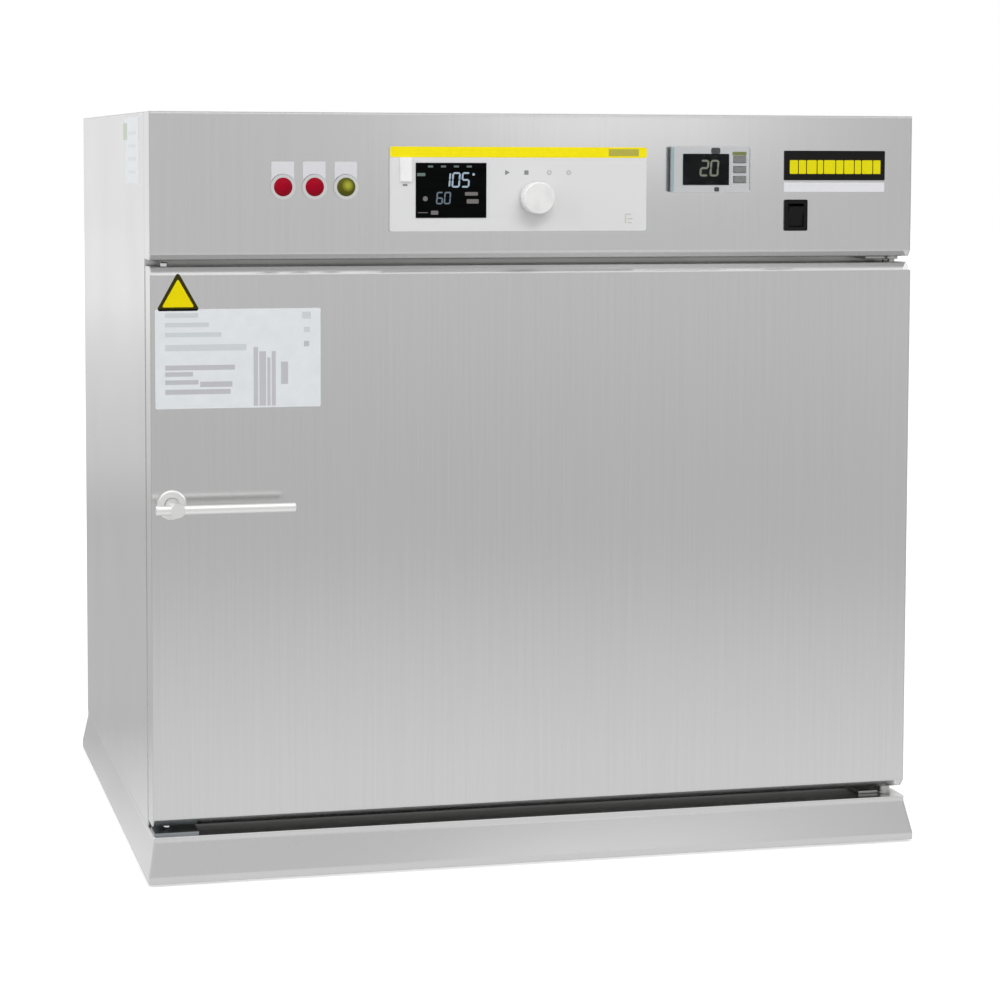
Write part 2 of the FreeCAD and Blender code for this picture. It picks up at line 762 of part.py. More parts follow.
def encoder_shaft():
    """The pressed shaft: it slides in the housing and the knob turns on its front end."""
    x, z = knob_place()
    front = FASCIA_FRONT - PANEL_THICK - KNOB_GAP - KNOB_HEIGHT / 2
    back = FASCIA_FRONT + CONTROLLER_DEPTH / 2 - KNOB_GAP
    return rod(ENCODER_RADIUS, V(x, front, z), AXIS_Y, back - front)


def dial_knob():
    """A drafted knob with finger flutes and a bore for the encoder shaft."""
    x, z = knob_place()
    back = FASCIA_FRONT - PANEL_THICK - KNOB_GAP
    front = back - KNOB_HEIGHT
    skirt = rod(KNOB_RADIUS, V(x, front + KNOB_EDGE, z), AXIS_Y, KNOB_HEIGHT - KNOB_EDGE)
    crown = cone(KNOB_RADIUS - KNOB_EDGE, KNOB_RADIUS, V(x, front, z), AXIS_Y, KNOB_EDGE)
    knob = fuse([skirt, crown])
    flutes = []
    reach = KNOB_RADIUS + KNOB_FLUTE_OUT
    for i in range(KNOB_GRIPS):
        turn = 2 * math.pi * i / KNOB_GRIPS
        place = V(x + reach * math.cos(turn), front, z + reach * math.sin(turn))
        flutes.append(rod(KNOB_FLUTE, place, AXIS_Y, KNOB_HEIGHT))
    bore = rod(ENCODER_RADIUS + RUNNING, V(x, back - KNOB_HEIGHT / 2 - RUNNING, z), AXIS_Y, KNOB_HEIGHT)
    return cut_all(knob, flutes + [bore])


def usb_cover():
    """A flip cover on a short pin at its left edge."""
    x0, x1, z0, z1 = usb_face()
    front = FASCIA_FRONT - PANEL_THICK
    leaf = rounded_plate(x0 + 2 * USB_PIN, x1, front - USB_COVER_THICK, front, z0, z1,
                         USB_COVER_CORNER)
    pin = usb_pin_place()
    barrel = rod(USB_PIN, pin, AXIS_Z, z1 - z0)
    web = box(pin.x, x0 + 3 * USB_PIN, pin.y - USB_PIN / 2, pin.y + USB_PIN / 2,
              z0 + USB_COVER_CORNER, z1 - USB_COVER_CORNER)
    return fuse([leaf, barrel, web])


def limiter_face():
    x0 = LEFT + LIMITER_FROM_LEFT
    z1 = HEIGHT - LIMITER_BELOW_TOP
    return x0, x0 + LIMITER_WIDTH, z1 - LIMITER_HEIGHT, z1


def limiter_screen_face():
    x0, _, z0, z1 = limiter_face()
    wide, tall = LIMITER_SCREEN
    x0 += LIMITER_SCREEN_IN
    middle = (z0 + z1) / 2
    return x0, x0 + wide, middle - tall / 2, middle + tall / 2


def limiter_key_face(index):
    x0, _, z0, z1 = limiter_face()
    wide, tall = LIMITER_KEY
    x0 += LIMITER_KEY_IN
    middle = (z0 + z1) / 2 + (index - (LIMITER_KEYS - 1) / 2) * LIMITER_KEY_PITCH
    return x0, x0 + wide, middle - tall / 2, middle + tall / 2


def limiter_key_seat():
    """How deep the keys stand in the case, travel included."""
    return LIMITER_THICK + KEY_TRAVEL + 2 * KEY_CLEAR


def limiter_case():
    x0, x1, z0, z1 = limiter_face()
    front = FASCIA_FRONT - LIMITER_THICK
    frame = rounded_plate(x0, x1, front, FASCIA_FRONT, z0, z1, PANEL_CORNER)
    rim = LIMITER_RIM
    body = box(x0 + rim, x1 - rim, FASCIA_FRONT, FASCIA_FRONT + LIMITER_DEPTH, z0 + rim, z1 - rim)
    a0, a1, b0, b1 = limiter_screen_face()
    pockets = [box(a0, a1, front, front + WINDOW_SUNK, b0, b1)]
    for i in range(LIMITER_KEYS):
        k0, k1, m0, m1 = limiter_key_face(i)
        pockets.append(box(k0 - KEY_CLEAR, k1 + KEY_CLEAR, front, front + limiter_key_seat(),
                           m0 - KEY_CLEAR, m1 + KEY_CLEAR))
    return cut_all(fuse([frame, body]), pockets)


def limiter_window():
    x0, x1, z0, z1 = limiter_screen_face()
    back = FASCIA_FRONT - LIMITER_THICK + WINDOW_SUNK
    return box(x0, x1, back - WINDOW_THICK, back, z0, z1)


def limiter_key(index):
    x0, x1, z0, z1 = limiter_key_face(index)
    front = FASCIA_FRONT - LIMITER_THICK - KEY_PROUD
    back = front + KEY_PROUD + limiter_key_seat() - KEY_TRAVEL - KEY_CLEAR
    return rounded_plate(x0, x1, front, back, z0, z1, KEY_CORNER)


def limiter_cover_pin():
    x0, _, z0, _ = limiter_face()
    return V(x0 - COVER_PIN - CLEAR, FASCIA_FRONT - COVER_PIN - CLEAR, z0)


def limiter_cover():
    """A clear box lid, hinged at its left edge."""
    x0, x1, z0, z1 = limiter_face()
    back = FASCIA_FRONT - LIMITER_THICK
    front = back - COVER_DEPTH
    lid = box(x0, x1, front, back, z0, z1)
    lid = lid.cut(box(x0 + COVER_SHEET, x1 - COVER_SHEET, front + COVER_SHEET, back,
                      z0 + COVER_SHEET, z1 - COVER_SHEET))
    pin = limiter_cover_pin()
    barrel = rod(COVER_PIN, pin, AXIS_Z, z1 - z0)
    web = box(pin.x - COVER_SHEET / 2, pin.x + COVER_SHEET / 2, back - COVER_SHEET, pin.y, z0, z1)
    arm = box(pin.x - COVER_SHEET / 2, x0 + COVER_SHEET, back - COVER_SHEET, back, z0, z1)
    return fuse([lid, barrel, web, arm])


def switch_face():
    x0 = LEFT + SWITCH_FROM_LEFT
    z1 = HEIGHT - SWITCH_BELOW_TOP
    return x0, x0 + SWITCH_WIDTH, z1 - SWITCH_HEIGHT, z1


def rocker_place():
    """A point on the rocker's pin, at the middle of the switch."""
    x0, x1, z0, z1 = switch_face()
    return V((x0 + x1) / 2, FASCIA_FRONT + ROCKER_PIVOT, (z0 + z1) / 2)


def switch_bezel():
    x0, x1, z0, z1 = switch_face()
    frame = rounded_plate(x0, x1, FASCIA_FRONT - SWITCH_OUT, FASCIA_FRONT, z0, z1, SWITCH_OUT)
    rim = SWITCH_RIM
    body = box(x0 + rim, x1 - rim, FASCIA_FRONT, FASCIA_FRONT + SWITCH_DEPTH, z0 + rim, z1 - rim)
    wall = rim + SWITCH_WALL
    well = box(x0 + wall, x1 - wall, FASCIA_FRONT - SWITCH_OUT,
               FASCIA_FRONT + SWITCH_DEPTH - SWITCH_FLOOR, z0 + wall, z1 - wall)
    axis = rocker_place()
    pin = rod(ROCKER_PIN + RUNNING, V(x0, axis.y, axis.z), AXIS_X, SWITCH_WIDTH)
    return cut_all(fuse([frame, body]), [well, pin])


def rocker():
    """A two-position rocker with a dished face, tilted on its cross pin."""
    x0, x1, _, _ = switch_face()
    axis = rocker_place()
    side = SWITCH_RIM + SWITCH_WALL + CLEAR
    foot_y, foot_z = ROCKER_FOOT
    wing_y = axis.y - ROCKER_FACE + ROCKER_WING
    points = [
        V(x0 + side, axis.y + foot_y, axis.z - foot_z),
        V(x0 + side, axis.y + foot_y, axis.z + foot_z),
        V(x0 + side, wing_y, axis.z + ROCKER_HALF),
        V(x0 + side, axis.y - ROCKER_FACE, axis.z + ROCKER_HALF),
        V(x0 + side, axis.y - ROCKER_FACE + ROCKER_DIP, axis.z),
        V(x0 + side, axis.y - ROCKER_FACE, axis.z - ROCKER_HALF),
        V(x0 + side, wing_y, axis.z - ROCKER_HALF)]
    cap = face_of(points).extrude(V(x1 - x0 - 2 * side, 0, 0))
    cap.rotate(axis, AXIS_X, ROCKER_TILT)
    end = SWITCH_RIM + SWITCH_WALL / 4
    pin = rod(ROCKER_PIN, V(x0 + end, axis.y, axis.z), AXIS_X, SWITCH_WIDTH - 2 * end)
    return fuse([cap, pin])


def badge_plate():
    x0 = LEFT + BADGE_FROM_LEFT
    z1 = HEIGHT - BADGE_BELOW_TOP
    return rounded_plate(x0, x0 + BADGE_WIDTH, FASCIA_FRONT - BADGE_THICK, FASCIA_FRONT,
                         z1 - BADGE_HEIGHT, z1, BADGE_CORNER)


def power_module():
    """The heater relay and its finned heat sink, standing on the control tray."""
    z = FASCIA_BOTTOM + SHEET
    x0, y0 = SINK_PLACE
    y1 = y0 + SINK_LENGTH
    pitch = (SINK_WIDTH - SINK_FIN) / (SINK_FINS - 1)
    base = box(x0, x0 + SINK_WIDTH, y0, y1, z, z + SINK_BASE)
    fins = []
    for i in range(SINK_FINS):
        x = x0 + i * pitch
        fins.append(box(x, x + SINK_FIN, y0, y1, z + SINK_BASE, z + SINK_HEIGHT))
    relay = box(x0, x0 + SINK_WIDTH, y0 - RELAY_DEPTH, y0, z, z + RELAY_HEIGHT)
    return group([fuse([base] + fins), relay])


# Chamber


def chamber_liner():
    wall = LINER_SHEET
    outer = box(-MOUTH - wall, MOUTH + wall, LINER_FRONT, LINER_BACK + wall,
                CHAMBER_FLOOR - wall, CHAMBER_TOP + wall)
    inner = box(-MOUTH, MOUTH, LINER_FRONT - wall, LINER_BACK, CHAMBER_FLOOR, CHAMBER_TOP)
    reach = LINER_FLANGE
    flange = ring_plate(-MOUTH - reach, MOUTH + reach, LINER_FRONT, LINER_FRONT + wall,
                        CHAMBER_FLOOR - reach, CHAMBER_TOP + reach, reach)
    shell = fuse([outer.cut(inner), flange])
    return cut_all(shell, rear_service_holes(LINER_BACK - wall, 3 * wall))


def insulation_jacket():
    wall = LINER_SHEET
    block = box(LEFT + SHEET, RIGHT - SHEET, LINER_FRONT, INNER_BACK, PLINTH_TOP, FASCIA_BOTTOM)
    liner = box(-MOUTH - wall, MOUTH + wall, LINER_FRONT, LINER_BACK + wall,
                CHAMBER_FLOOR - wall, CHAMBER_TOP + wall)
    reach = LINER_FLANGE
    flange = box(-MOUTH - reach, MOUTH + reach, LINER_FRONT, LINER_FRONT + wall,
                 CHAMBER_FLOOR - reach, CHAMBER_TOP + reach)
    return cut_all(block, [liner, flange] + rear_service_holes(LINER_BACK, REAR_INSULATION + wall))


def door_gasket():
    """A silicone seal on the front frame that the closed door touches."""
    inner = GASKET_INSET
    reach = inner + GASKET_WIDTH
    return ring_plate(-MOUTH - reach, MOUTH + reach, DOOR_BACK, FRAME_FRONT,
                      CHAMBER_FLOOR - reach, CHAMBER_TOP + reach, GASKET_WIDTH)


def rail_height(level):
    step = (CHAMBER_HEIGHT - 2 * RAIL_MARGIN) / (RAIL_LEVELS - 1)
    return CHAMBER_FLOOR + RAIL_MARGIN + level * step


def shelf_rack():
    """The left ladder: two posts on the liner wall and a ledge at each level."""
    posts = []
    y_front = LINER_FRONT + RACK_FRONT
    for y in (y_front, y_front + RACK_SPACING):
        posts.append(box(-MOUTH, -MOUTH + RACK_POST, y - RACK_POST, y + RACK_POST,
                         CHAMBER_FLOOR + RACK_MARGIN, CHAMBER_TOP - RACK_MARGIN))
    ledges = []
    y0 = y_front - RACK_POST
    y1 = y_front + RACK_SPACING + RACK_POST
    for level in range(RAIL_LEVELS):
        z = rail_height(level)
        x = -MOUTH + RACK_POST
        shelf = box(x, x + RAIL_DEPTH, y0, y1, z - RAIL_SHEET, z)
        back = box(x, x + RAIL_SHEET, y0, y1, z, z + RAIL_DEPTH)
        ledges.append(fuse([shelf, back]))
    return fuse(posts + ledges)


def wire_shelf(level):
    """A wire grid in a round-bar frame, resting on the ledges of one level."""
    x1 = MOUTH - RACK_POST - RAIL_SHEET - SHELF_CLEAR - SHELF_FRAME
    y1 = BAFFLE_Y - SHELF_FROM_BAFFLE - SHELF_FRAME
    y0 = y1 - SHELF_DEPTH + 2 * SHELF_FRAME
    z = rail_height(level) + SHELF_LIFT + SHELF_FRAME
    bars = []
    for side in (-x1, x1):
        bars.append(rod(SHELF_FRAME, V(side, y0, z), AXIS_Y, y1 - y0))
    for y in (y0, y1):
        bars.append(rod(SHELF_FRAME, V(-x1, y, z), AXIS_X, 2 * x1))
    for x in (-x1, x1):
        for y in (y0, y1):
            bars.append(Part.makeSphere(SHELF_FRAME, V(x, y, z)))
    bars.append(rod(SHELF_CROSSBAR, V(-x1, (y0 + y1) / 2, z), AXIS_X, 2 * x1))
    step = 2 * x1 / (SHELF_WIRES + 1)
    wires = []
    for i in range(SHELF_WIRES):
        x = -x1 + (i + 1) * step
        wires.append(rod(SHELF_WIRE, V(x, y0, z), AXIS_Y, y1 - y0))
    return fuse(bars + wires)


def rear_baffle():
    """The air guide in front of the fan: holes before the wheel, slots at both sides."""
    x = MOUTH - BAFFLE_SIDE_GAP
    z0 = CHAMBER_FLOOR
    z1 = CHAMBER_TOP
    sheet = box(-x, x, BAFFLE_Y, BAFFLE_Y + BAFFLE_SHEET, z0, z1)
    lower = box(-x, x, BAFFLE_Y, BAFFLE_Y + BAFFLE_FLANGE, z0, z0 + BAFFLE_SHEET)
    upper = box(-x, x, BAFFLE_Y, BAFFLE_Y + BAFFLE_FLANGE, z1 - BAFFLE_SHEET, z1)
    plate = fuse([sheet, lower, upper])
    holes = []
    y = BAFFLE_Y - BAFFLE_SHEET
    deep = 3 * BAFFLE_SHEET
    for ring in range(EYE_RINGS):
        count = max(1, 6 * ring)
        for i in range(count):
            turn = 2 * math.pi * i / count
            reach = ring * EYE_RING_PITCH
            place = V(reach * math.cos(turn), y, FAN_Z + reach * math.sin(turn))
            holes.append(rod(EYE_HOLE, place, AXIS_Y, deep))
    wide, tall = OUTLET_SLOT
    step = CHAMBER_HEIGHT / OUTLET_SLOTS
    for side in (-1, 1):
        middle = side * (MOUTH - OUTLET_FROM_SIDE - wide / 2)
        for i in range(OUTLET_SLOTS):
            z = z0 + (i + 0.5) * step
            holes.append(box(middle - wide / 2, middle + wide / 2, y, y + deep, z - tall / 2, z + tall / 2))
    for px, pz in probe_places():
        holes.append(rod(PROBE_RADIUS + CLEAR, V(px, y, pz), AXIS_Y, deep))
    return cut_all(plate, holes)


# Fan, motor, heater and probes


def blade(index):
    """One backward-leaning blade between the wheel's back plate and its front ring."""
    y0 = WHEEL_BACK - WHEEL_WIDTH
    outer_radius = WHEEL_RADIUS - 1
    start = V(BLADE_INNER, y0, 0)
    end = V(outer_radius * math.cos(BLADE_LEAN), y0, outer_radius * math.sin(BLADE_LEAN))
    bow = V((start.x + end.x) / 2 + BLADE_BOW, y0, (start.z + end.z) / 2 - BLADE_BOW)
    arc = Part.Arc(start, bow, end)
    shift = V(-BLADE_SHEET * 0.7, 0, BLADE_SHEET * 0.7)
    back = Part.Arc(start + shift, bow + shift, end + shift)
    outline = Part.Wire([arc.toShape(), Part.LineSegment(end, end + shift).toShape(),
                         back.toShape(), Part.LineSegment(start + shift, start).toShape()])
    solid = Part.Face(outline).extrude(V(0, WHEEL_WIDTH - WHEEL_SHEET, 0))
    solid.rotate(V(0, 0, 0), AXIS_Y, 360.0 * index / BLADES)
    solid.translate(V(0, 0, FAN_Z))
    return solid


def fan_wheel():
    back = rod(WHEEL_RADIUS, V(0, WHEEL_BACK - WHEEL_SHEET, FAN_Z), AXIS_Y, WHEEL_SHEET)
    ring = tube(WHEEL_RADIUS, WHEEL_EYE, V(0, WHEEL_BACK - WHEEL_WIDTH, FAN_Z), AXIS_Y, WHEEL_SHEET)
    hub = rod(HUB_RADIUS, V(0, WHEEL_BACK - WHEEL_WIDTH / 2, FAN_Z), AXIS_Y,
              WHEEL_WIDTH / 2 + HUB_BEHIND)
    wheel = fuse([back, ring, hub] + [blade(i) for i in range(BLADES)])
    return wheel.cut(rod(SHAFT_RADIUS, V(0, WHEEL_BACK - WHEEL_WIDTH, FAN_Z), AXIS_Y, 2 * WHEEL_WIDTH))


def motor_front():
    return INNER_BACK + SHEET


def fan_shaft():
    start = WHEEL_BACK - WHEEL_WIDTH / 2 - SHAFT_NOSE
    end = motor_front() + SHAFT_IN_MOTOR
    return rod(SHAFT_RADIUS, V(0, start, FAN_Z), AXIS_Y, end - start)


def fan_motor():
    """A flange motor with cooling ribs, bolted to the inner back wall."""
    y = motor_front()
    flange = rod(MOTOR_FLANGE_RADIUS, V(0, y, FAN_Z), AXIS_Y, MOTOR_FLANGE)
    can = rod(MOTOR_RADIUS, V(0, y, FAN_Z), AXIS_Y, MOTOR_LENGTH)
    pitch = (MOTOR_LENGTH - 3 * MOTOR_FLANGE) / MOTOR_FINS
    fins = []
    for i in range(MOTOR_FINS):
        start = V(0, y + 2 * MOTOR_FLANGE + i * pitch, FAN_Z)
        fins.append(rod(MOTOR_RADIUS + MOTOR_FIN_HEIGHT, start, AXIS_Y, MOTOR_FIN))
    bore = rod(SHAFT_RADIUS + RUNNING, V(0, y, FAN_Z), AXIS_Y, SHAFT_IN_MOTOR + SHAFT_END_GAP)
    return fuse([flange, can] + fins).cut(bore)


def heater_gap():
    """Half the angle at the bottom of the ring where the tube turns back."""
    return math.asin(HEATER_END / HEATER_RADIUS)


def heater_ends():
    low = FAN_Z - HEATER_RADIUS * math.cos(heater_gap())
    return [(-HEATER_END, low), (HEATER_END, low)]


def ring_heater():
    """An open tube ring round the wheel, whose ends turn back through the wall."""
    middle = WHEEL_BACK - WHEEL_WIDTH / 2
    gap = math.degrees(heater_gap())
    circle = Part.Circle(V(HEATER_RADIUS, 0, 0), AXIS_Z, HEATER_TUBE).toShape()
    ring = Part.Face(Part.Wire(circle)).revolve(V(0, 0, 0), AXIS_Y, 360 - 2 * gap)
    ring.rotate(V(0, 0, 0), AXIS_Y, 90 + gap)
    ring.translate(V(0, middle, FAN_Z))
    shapes = [ring]
    for x, z in heater_ends():
        start = V(x, middle, z)
        shapes.append(Part.makeSphere(HEATER_TUBE, start))
        shapes.append(rod(HEATER_TUBE, start, AXIS_Y, INNER_BACK + LEAD_TAIL - middle))
        shapes.append(rod(HEATER_COLLAR, V(x, LINER_BACK - COLLAR_THICK, z), AXIS_Y, COLLAR_THICK))
    return fuse(shapes)


def probe_places():
    z = CHAMBER_TOP - PROBE_BELOW_ROOF
    return [(-PROBE_SPREAD, z), (PROBE_SPREAD, z)]


def temperature_probes():
    probes = []
    for x, z in probe_places():
        y0 = BAFFLE_Y - PROBE_IN_CHAMBER
        stem = rod(PROBE_RADIUS, V(x, y0, z), AXIS_Y, INNER_BACK + LEAD_TAIL - y0)
        collar = rod(HEATER_COLLAR, V(x, LINER_BACK - COLLAR_THICK, z), AXIS_Y, COLLAR_THICK)
        probes.append(fuse([stem, collar]))
    return group(probes)


# Rear fittings


def exhaust_duct():
    """The pipe from the chamber to the spigot, with a wider collar round the damper."""
    bore = SPIGOT_RADIUS - PIPE_WALL
    length = BODY_BACK + REAR_REACH - LINER_BACK
    pipe = rod(SPIGOT_RADIUS, V(EXHAUST_X, LINER_BACK, EXHAUST_Z), AXIS_Y, length)
    collar = rod(DAMPER_COLLAR, V(EXHAUST_X, BODY_BACK, EXHAUST_Z), AXIS_Y, DAMPER_COLLAR_LENGTH)
    flange = rod(PIPE_FLANGE, V(EXHAUST_X, BODY_BACK, EXHAUST_Z), AXIS_Y, PIPE_FLANGE_THICK)
    inside = rod(bore, V(EXHAUST_X, LINER_BACK, EXHAUST_Z), AXIS_Y, length)
    seat = V(EXHAUST_X, DAMPER_Y, EXHAUST_Z - DAMPER_COLLAR + DAMPER_SEAT)
    spindle = rod(DAMPER_SPINDLE + RUNNING, seat, AXIS_Z, 2 * DAMPER_COLLAR)
    return cut_all(fuse([pipe, collar, flange]), [inside, spindle])


def damper_flap():
    """A round flap on an upright spindle, with a setting lever on top of the collar."""
    radius = SPIGOT_RADIUS - PIPE_WALL - DAMPER_MARGIN
    disc = rod(radius, V(EXHAUST_X, DAMPER_Y - DAMPER_THICK / 2, EXHAUST_Z), AXIS_Y, DAMPER_THICK)
    low = EXHAUST_Z - DAMPER_COLLAR + DAMPER_SEAT + DAMPER_END_GAP
    high = EXHAUST_Z + DAMPER_COLLAR + DAMPER_SPINDLE_OUT
    spindle = rod(DAMPER_SPINDLE, V(EXHAUST_X, DAMPER_Y, low), AXIS_Z, high - low)
    half = DAMPER_LEVER_WIDTH / 2
    lever = box(EXHAUST_X - half, EXHAUST_X + DAMPER_LEVER, DAMPER_Y - half, DAMPER_Y + half,
                high - DAMPER_LEVER_THICK, high)
    return fuse([disc, spindle, lever])


def air_inlet():
    """The fresh air pipe with a slotted cap behind the rear panel."""
    centre = V(INLET_X, LINER_BACK, INLET_Z)
    end = BODY_BACK + INLET_REACH
    pipe = tube(INLET_RADIUS, INLET_RADIUS - PIPE_WALL, centre, AXIS_Y, end - LINER_BACK)
    flange = tube(INLET_FLANGE, INLET_RADIUS - PIPE_WALL, V(INLET_X, BODY_BACK, INLET_Z), AXIS_Y,
                  PIPE_FLANGE_THICK)
    bars = []
    for i in range(INLET_BARS):
        z = INLET_Z + (i - (INLET_BARS - 1) / 2) * INLET_BAR_PITCH
        bars.append(box(INLET_X - INLET_RADIUS, INLET_X + INLET_RADIUS, end - INLET_BAR_DEEP, end,
                        z - INLET_BAR / 2, z + INLET_BAR / 2))
    inside = rod(INLET_RADIUS, centre, AXIS_Y, end - LINER_BACK)
    return fuse([pipe, flange] + [bar.common(inside) for bar in bars])


def mains_gland():
    """A cable gland without its cable: thread, hexagon and dome nut."""
    z = HEIGHT - GLAND_BELOW_TOP
    inside = BODY_BACK - SHEET
    hexagon = []
    for i in range(6):
        turn = math.radians(60 * i)
        hexagon.append(V(GLAND_X + GLAND_NUT * math.cos(turn), BODY_BACK, z + GLAND_NUT * math.sin(turn)))
    outer_nut = face_of(hexagon).extrude(V(0, GLAND_NUT_THICK, 0))
    inner_nut = outer_nut.copy()
    inner_nut.translate(V(0, -GLAND_NUT_THICK - SHEET, 0))
    start = V(GLAND_X, inside - GLAND_THREAD, z)
    thread = rod(GLAND_RADIUS, start, AXIS_Y, GLAND_THREAD + SHEET)
    dome = cone(GLAND_DOME[0], GLAND_DOME[1], V(GLAND_X, BODY_BACK + GLAND_NUT_THICK, z), AXIS_Y,
                GLAND_LENGTH - GLAND_NUT_THICK)
    bore = rod(GLAND_BORE, start, AXIS_Y, GLAND_THREAD + SHEET + GLAND_LENGTH)
    return fuse([outer_nut, inner_nut, thread, dome]).cut(bore)


# Door


def door_shell():
    pan = front_pan(DOOR_FRONT, DOOR_BACK, DOOR_BOTTOM, DOOR_TOP, DOOR_BEVEL, DOOR_BEVEL)
    deep = 4 * SHEET
    holes = [rod(SPINDLE_RADIUS + HOLE_CLEAR, V(PIVOT_X, DOOR_FRONT - SHEET, PIVOT_Z), AXIS_Y, deep)]
    for z in (DOOR_BOTTOM, DOOR_TOP):
        low = z - deep / 2
        holes.append(rod(ROD_RADIUS + CLEAR, V(ROD_X, ROD_Y, low), AXIS_Z, deep))
        holes.append(rod(HINGE_PIN_RADIUS + HOLE_CLEAR, V(HINGE_X, HINGE_Y, low), AXIS_Z, deep))
    return cut_all(pan, holes)


def plug_block(inset):
    """The form of the door's raised panel, drawn in by inset."""
    edge = MOUTH - PLUG_CLEARANCE - inset
    low = CHAMBER_FLOOR + PLUG_CLEARANCE + inset
    high = CHAMBER_TOP - PLUG_CLEARANCE - inset
    return tapered_block(-edge, edge, DOOR_BACK - DOOR_LINER_SHEET, DOOR_BACK + PLUG_DEPTH - inset,
                         low, high, PLUG_DRAFT)


def door_liner():
    back = DOOR_BACK - DOOR_LINER_SHEET
    plate = box(LEFT + SHEET, RIGHT - SHEET, back, DOOR_BACK, DOOR_BOTTOM + SHEET, DOOR_TOP - SHEET)
    return fuse([plate, plug_block(0)]).cut(plug_block(DOOR_LINER_SHEET))


def door_insulation():
    back = DOOR_BACK - DOOR_LINER_SHEET
    batt = box(LEFT + LOCK_CHANNEL, RIGHT - HINGE_CHANNEL, DOOR_FRONT + SHEET, back,
               DOOR_BOTTOM + DOOR_BEVEL + SHEET, DOOR_TOP - DOOR_BEVEL - SHEET)
    return fuse([batt, plug_block(DOOR_LINER_SHEET)])


def hinge_bushes():
    """Two bearing blocks in the door's right edge, one under each hinge pin."""
    half = BUSH_WIDTH / 2
    bushes = []
    for low in (DOOR_BOTTOM + SHEET, DOOR_TOP - SHEET - BUSH_HEIGHT):
        block = box(HINGE_X - half, RIGHT - SHEET, HINGE_Y - BUSH_AHEAD, HINGE_Y + BUSH_BEHIND,
                    low, low + BUSH_HEIGHT)
        bore = rod(HINGE_PIN_RADIUS + RUNNING, V(HINGE_X, HINGE_Y, low), AXIS_Z, BUSH_HEIGHT)
        bushes.append(block.cut(bore))
    return group(bushes)


def hinge_plate(z):
    """A plate with a round nose about the hinge axis, reaching back to the cabinet."""
    nose = rod(HINGE_LUG_RADIUS, V(HINGE_X, HINGE_Y, z), AXIS_Z, HINGE_PLATE)
    plate = box(HINGE_X - HINGE_PLATE_REACH, HINGE_X + HINGE_LUG_RADIUS, HINGE_Y, BODY_FRONT,
                z, z + HINGE_PLATE)
    return fuse([nose, plate])


def hinge_bracket_upper():
    """The plate under the control box, with the pin that points down."""
    z = FASCIA_BOTTOM - HINGE_PLATE
    reach = z - DOOR_TOP + HINGE_PIN_LENGTH
    pin = rod(HINGE_PIN_RADIUS, V(HINGE_X, HINGE_Y, z), V(0, 0, -1), reach)
    return fuse([hinge_plate(z), pin])


def hinge_bracket_lower():
    """The plate on the plinth, with the pin and the collar that the door stands on."""
    z = PLINTH_TOP
    top = z + HINGE_PLATE
    pin = rod(HINGE_PIN_RADIUS, V(HINGE_X, HINGE_Y, top), AXIS_Z, DOOR_BOTTOM - top + HINGE_PIN_LENGTH)
    thrust = rod(THRUST_RADIUS, V(HINGE_X, HINGE_Y, top), AXIS_Z, DOOR_BOTTOM - top)
    return fuse([hinge_plate(z), pin, thrust])


# Door lock


def involute(angle):
    return math.tan(angle) - angle


def gear_outline(y):
    """The pinion's outline, one tooth on each axis, with involute flanks."""
    base = GEAR_RADIUS * math.cos(PRESSURE_ANGLE)
    tip = GEAR_RADIUS + GEAR_MODULE
    root = GEAR_RADIUS - GEAR_DEDENDUM * GEAR_MODULE
    half = math.pi / (2 * GEAR_TEETH) - BACKLASH / (4 * GEAR_RADIUS) + involute(PRESSURE_ANGLE)
    flank = [(root, half)]
    for i in range(FLANK_STEPS + 1):
        radius = base + (tip - base) * i / FLANK_STEPS
        flank.append((radius, half - involute(math.acos(base / radius))))
    points = []
    for tooth in range(GEAR_TEETH):
        middle = 2 * math.pi * tooth / GEAR_TEETH
        rising = [(radius, middle - angle) for radius, angle in flank]
        falling = [(radius, middle + angle) for radius, angle in reversed(flank)]
        for radius, angle in rising + falling:
            points.append(V(PIVOT_X + radius * math.cos(angle), y, PIVOT_Z + radius * math.sin(angle)))
    return points


def lock_pinion():
    """The pinion on its spindle, with a spacer on each side."""
    front = DOOR_FRONT + SHEET + CASE_WALL + CLEAR
    back = DOOR_FRONT + SHEET + CASE_DEPTH - CASE_WALL - CLEAR
    gear = face_of(gear_outline(GEAR_Y)).extrude(V(0, GEAR_WIDTH, 0))
    start = DOOR_FRONT - LEVER_REACH
    end = DOOR_FRONT + SHEET + CASE_DEPTH
    spindle = rod(SPINDLE_RADIUS, V(PIVOT_X, start, PIVOT_Z), AXIS_Y, end - start)
    spacer_front = rod(SPACER_RADIUS, V(PIVOT_X, front, PIVOT_Z), AXIS_Y, GEAR_Y - front)
    spacer_back = rod(SPACER_RADIUS, V(PIVOT_X, GEAR_Y + GEAR_WIDTH, PIVOT_Z), AXIS_Y,
                      back - GEAR_Y - GEAR_WIDTH)
    return fuse([gear, spindle, spacer_front, spacer_back])


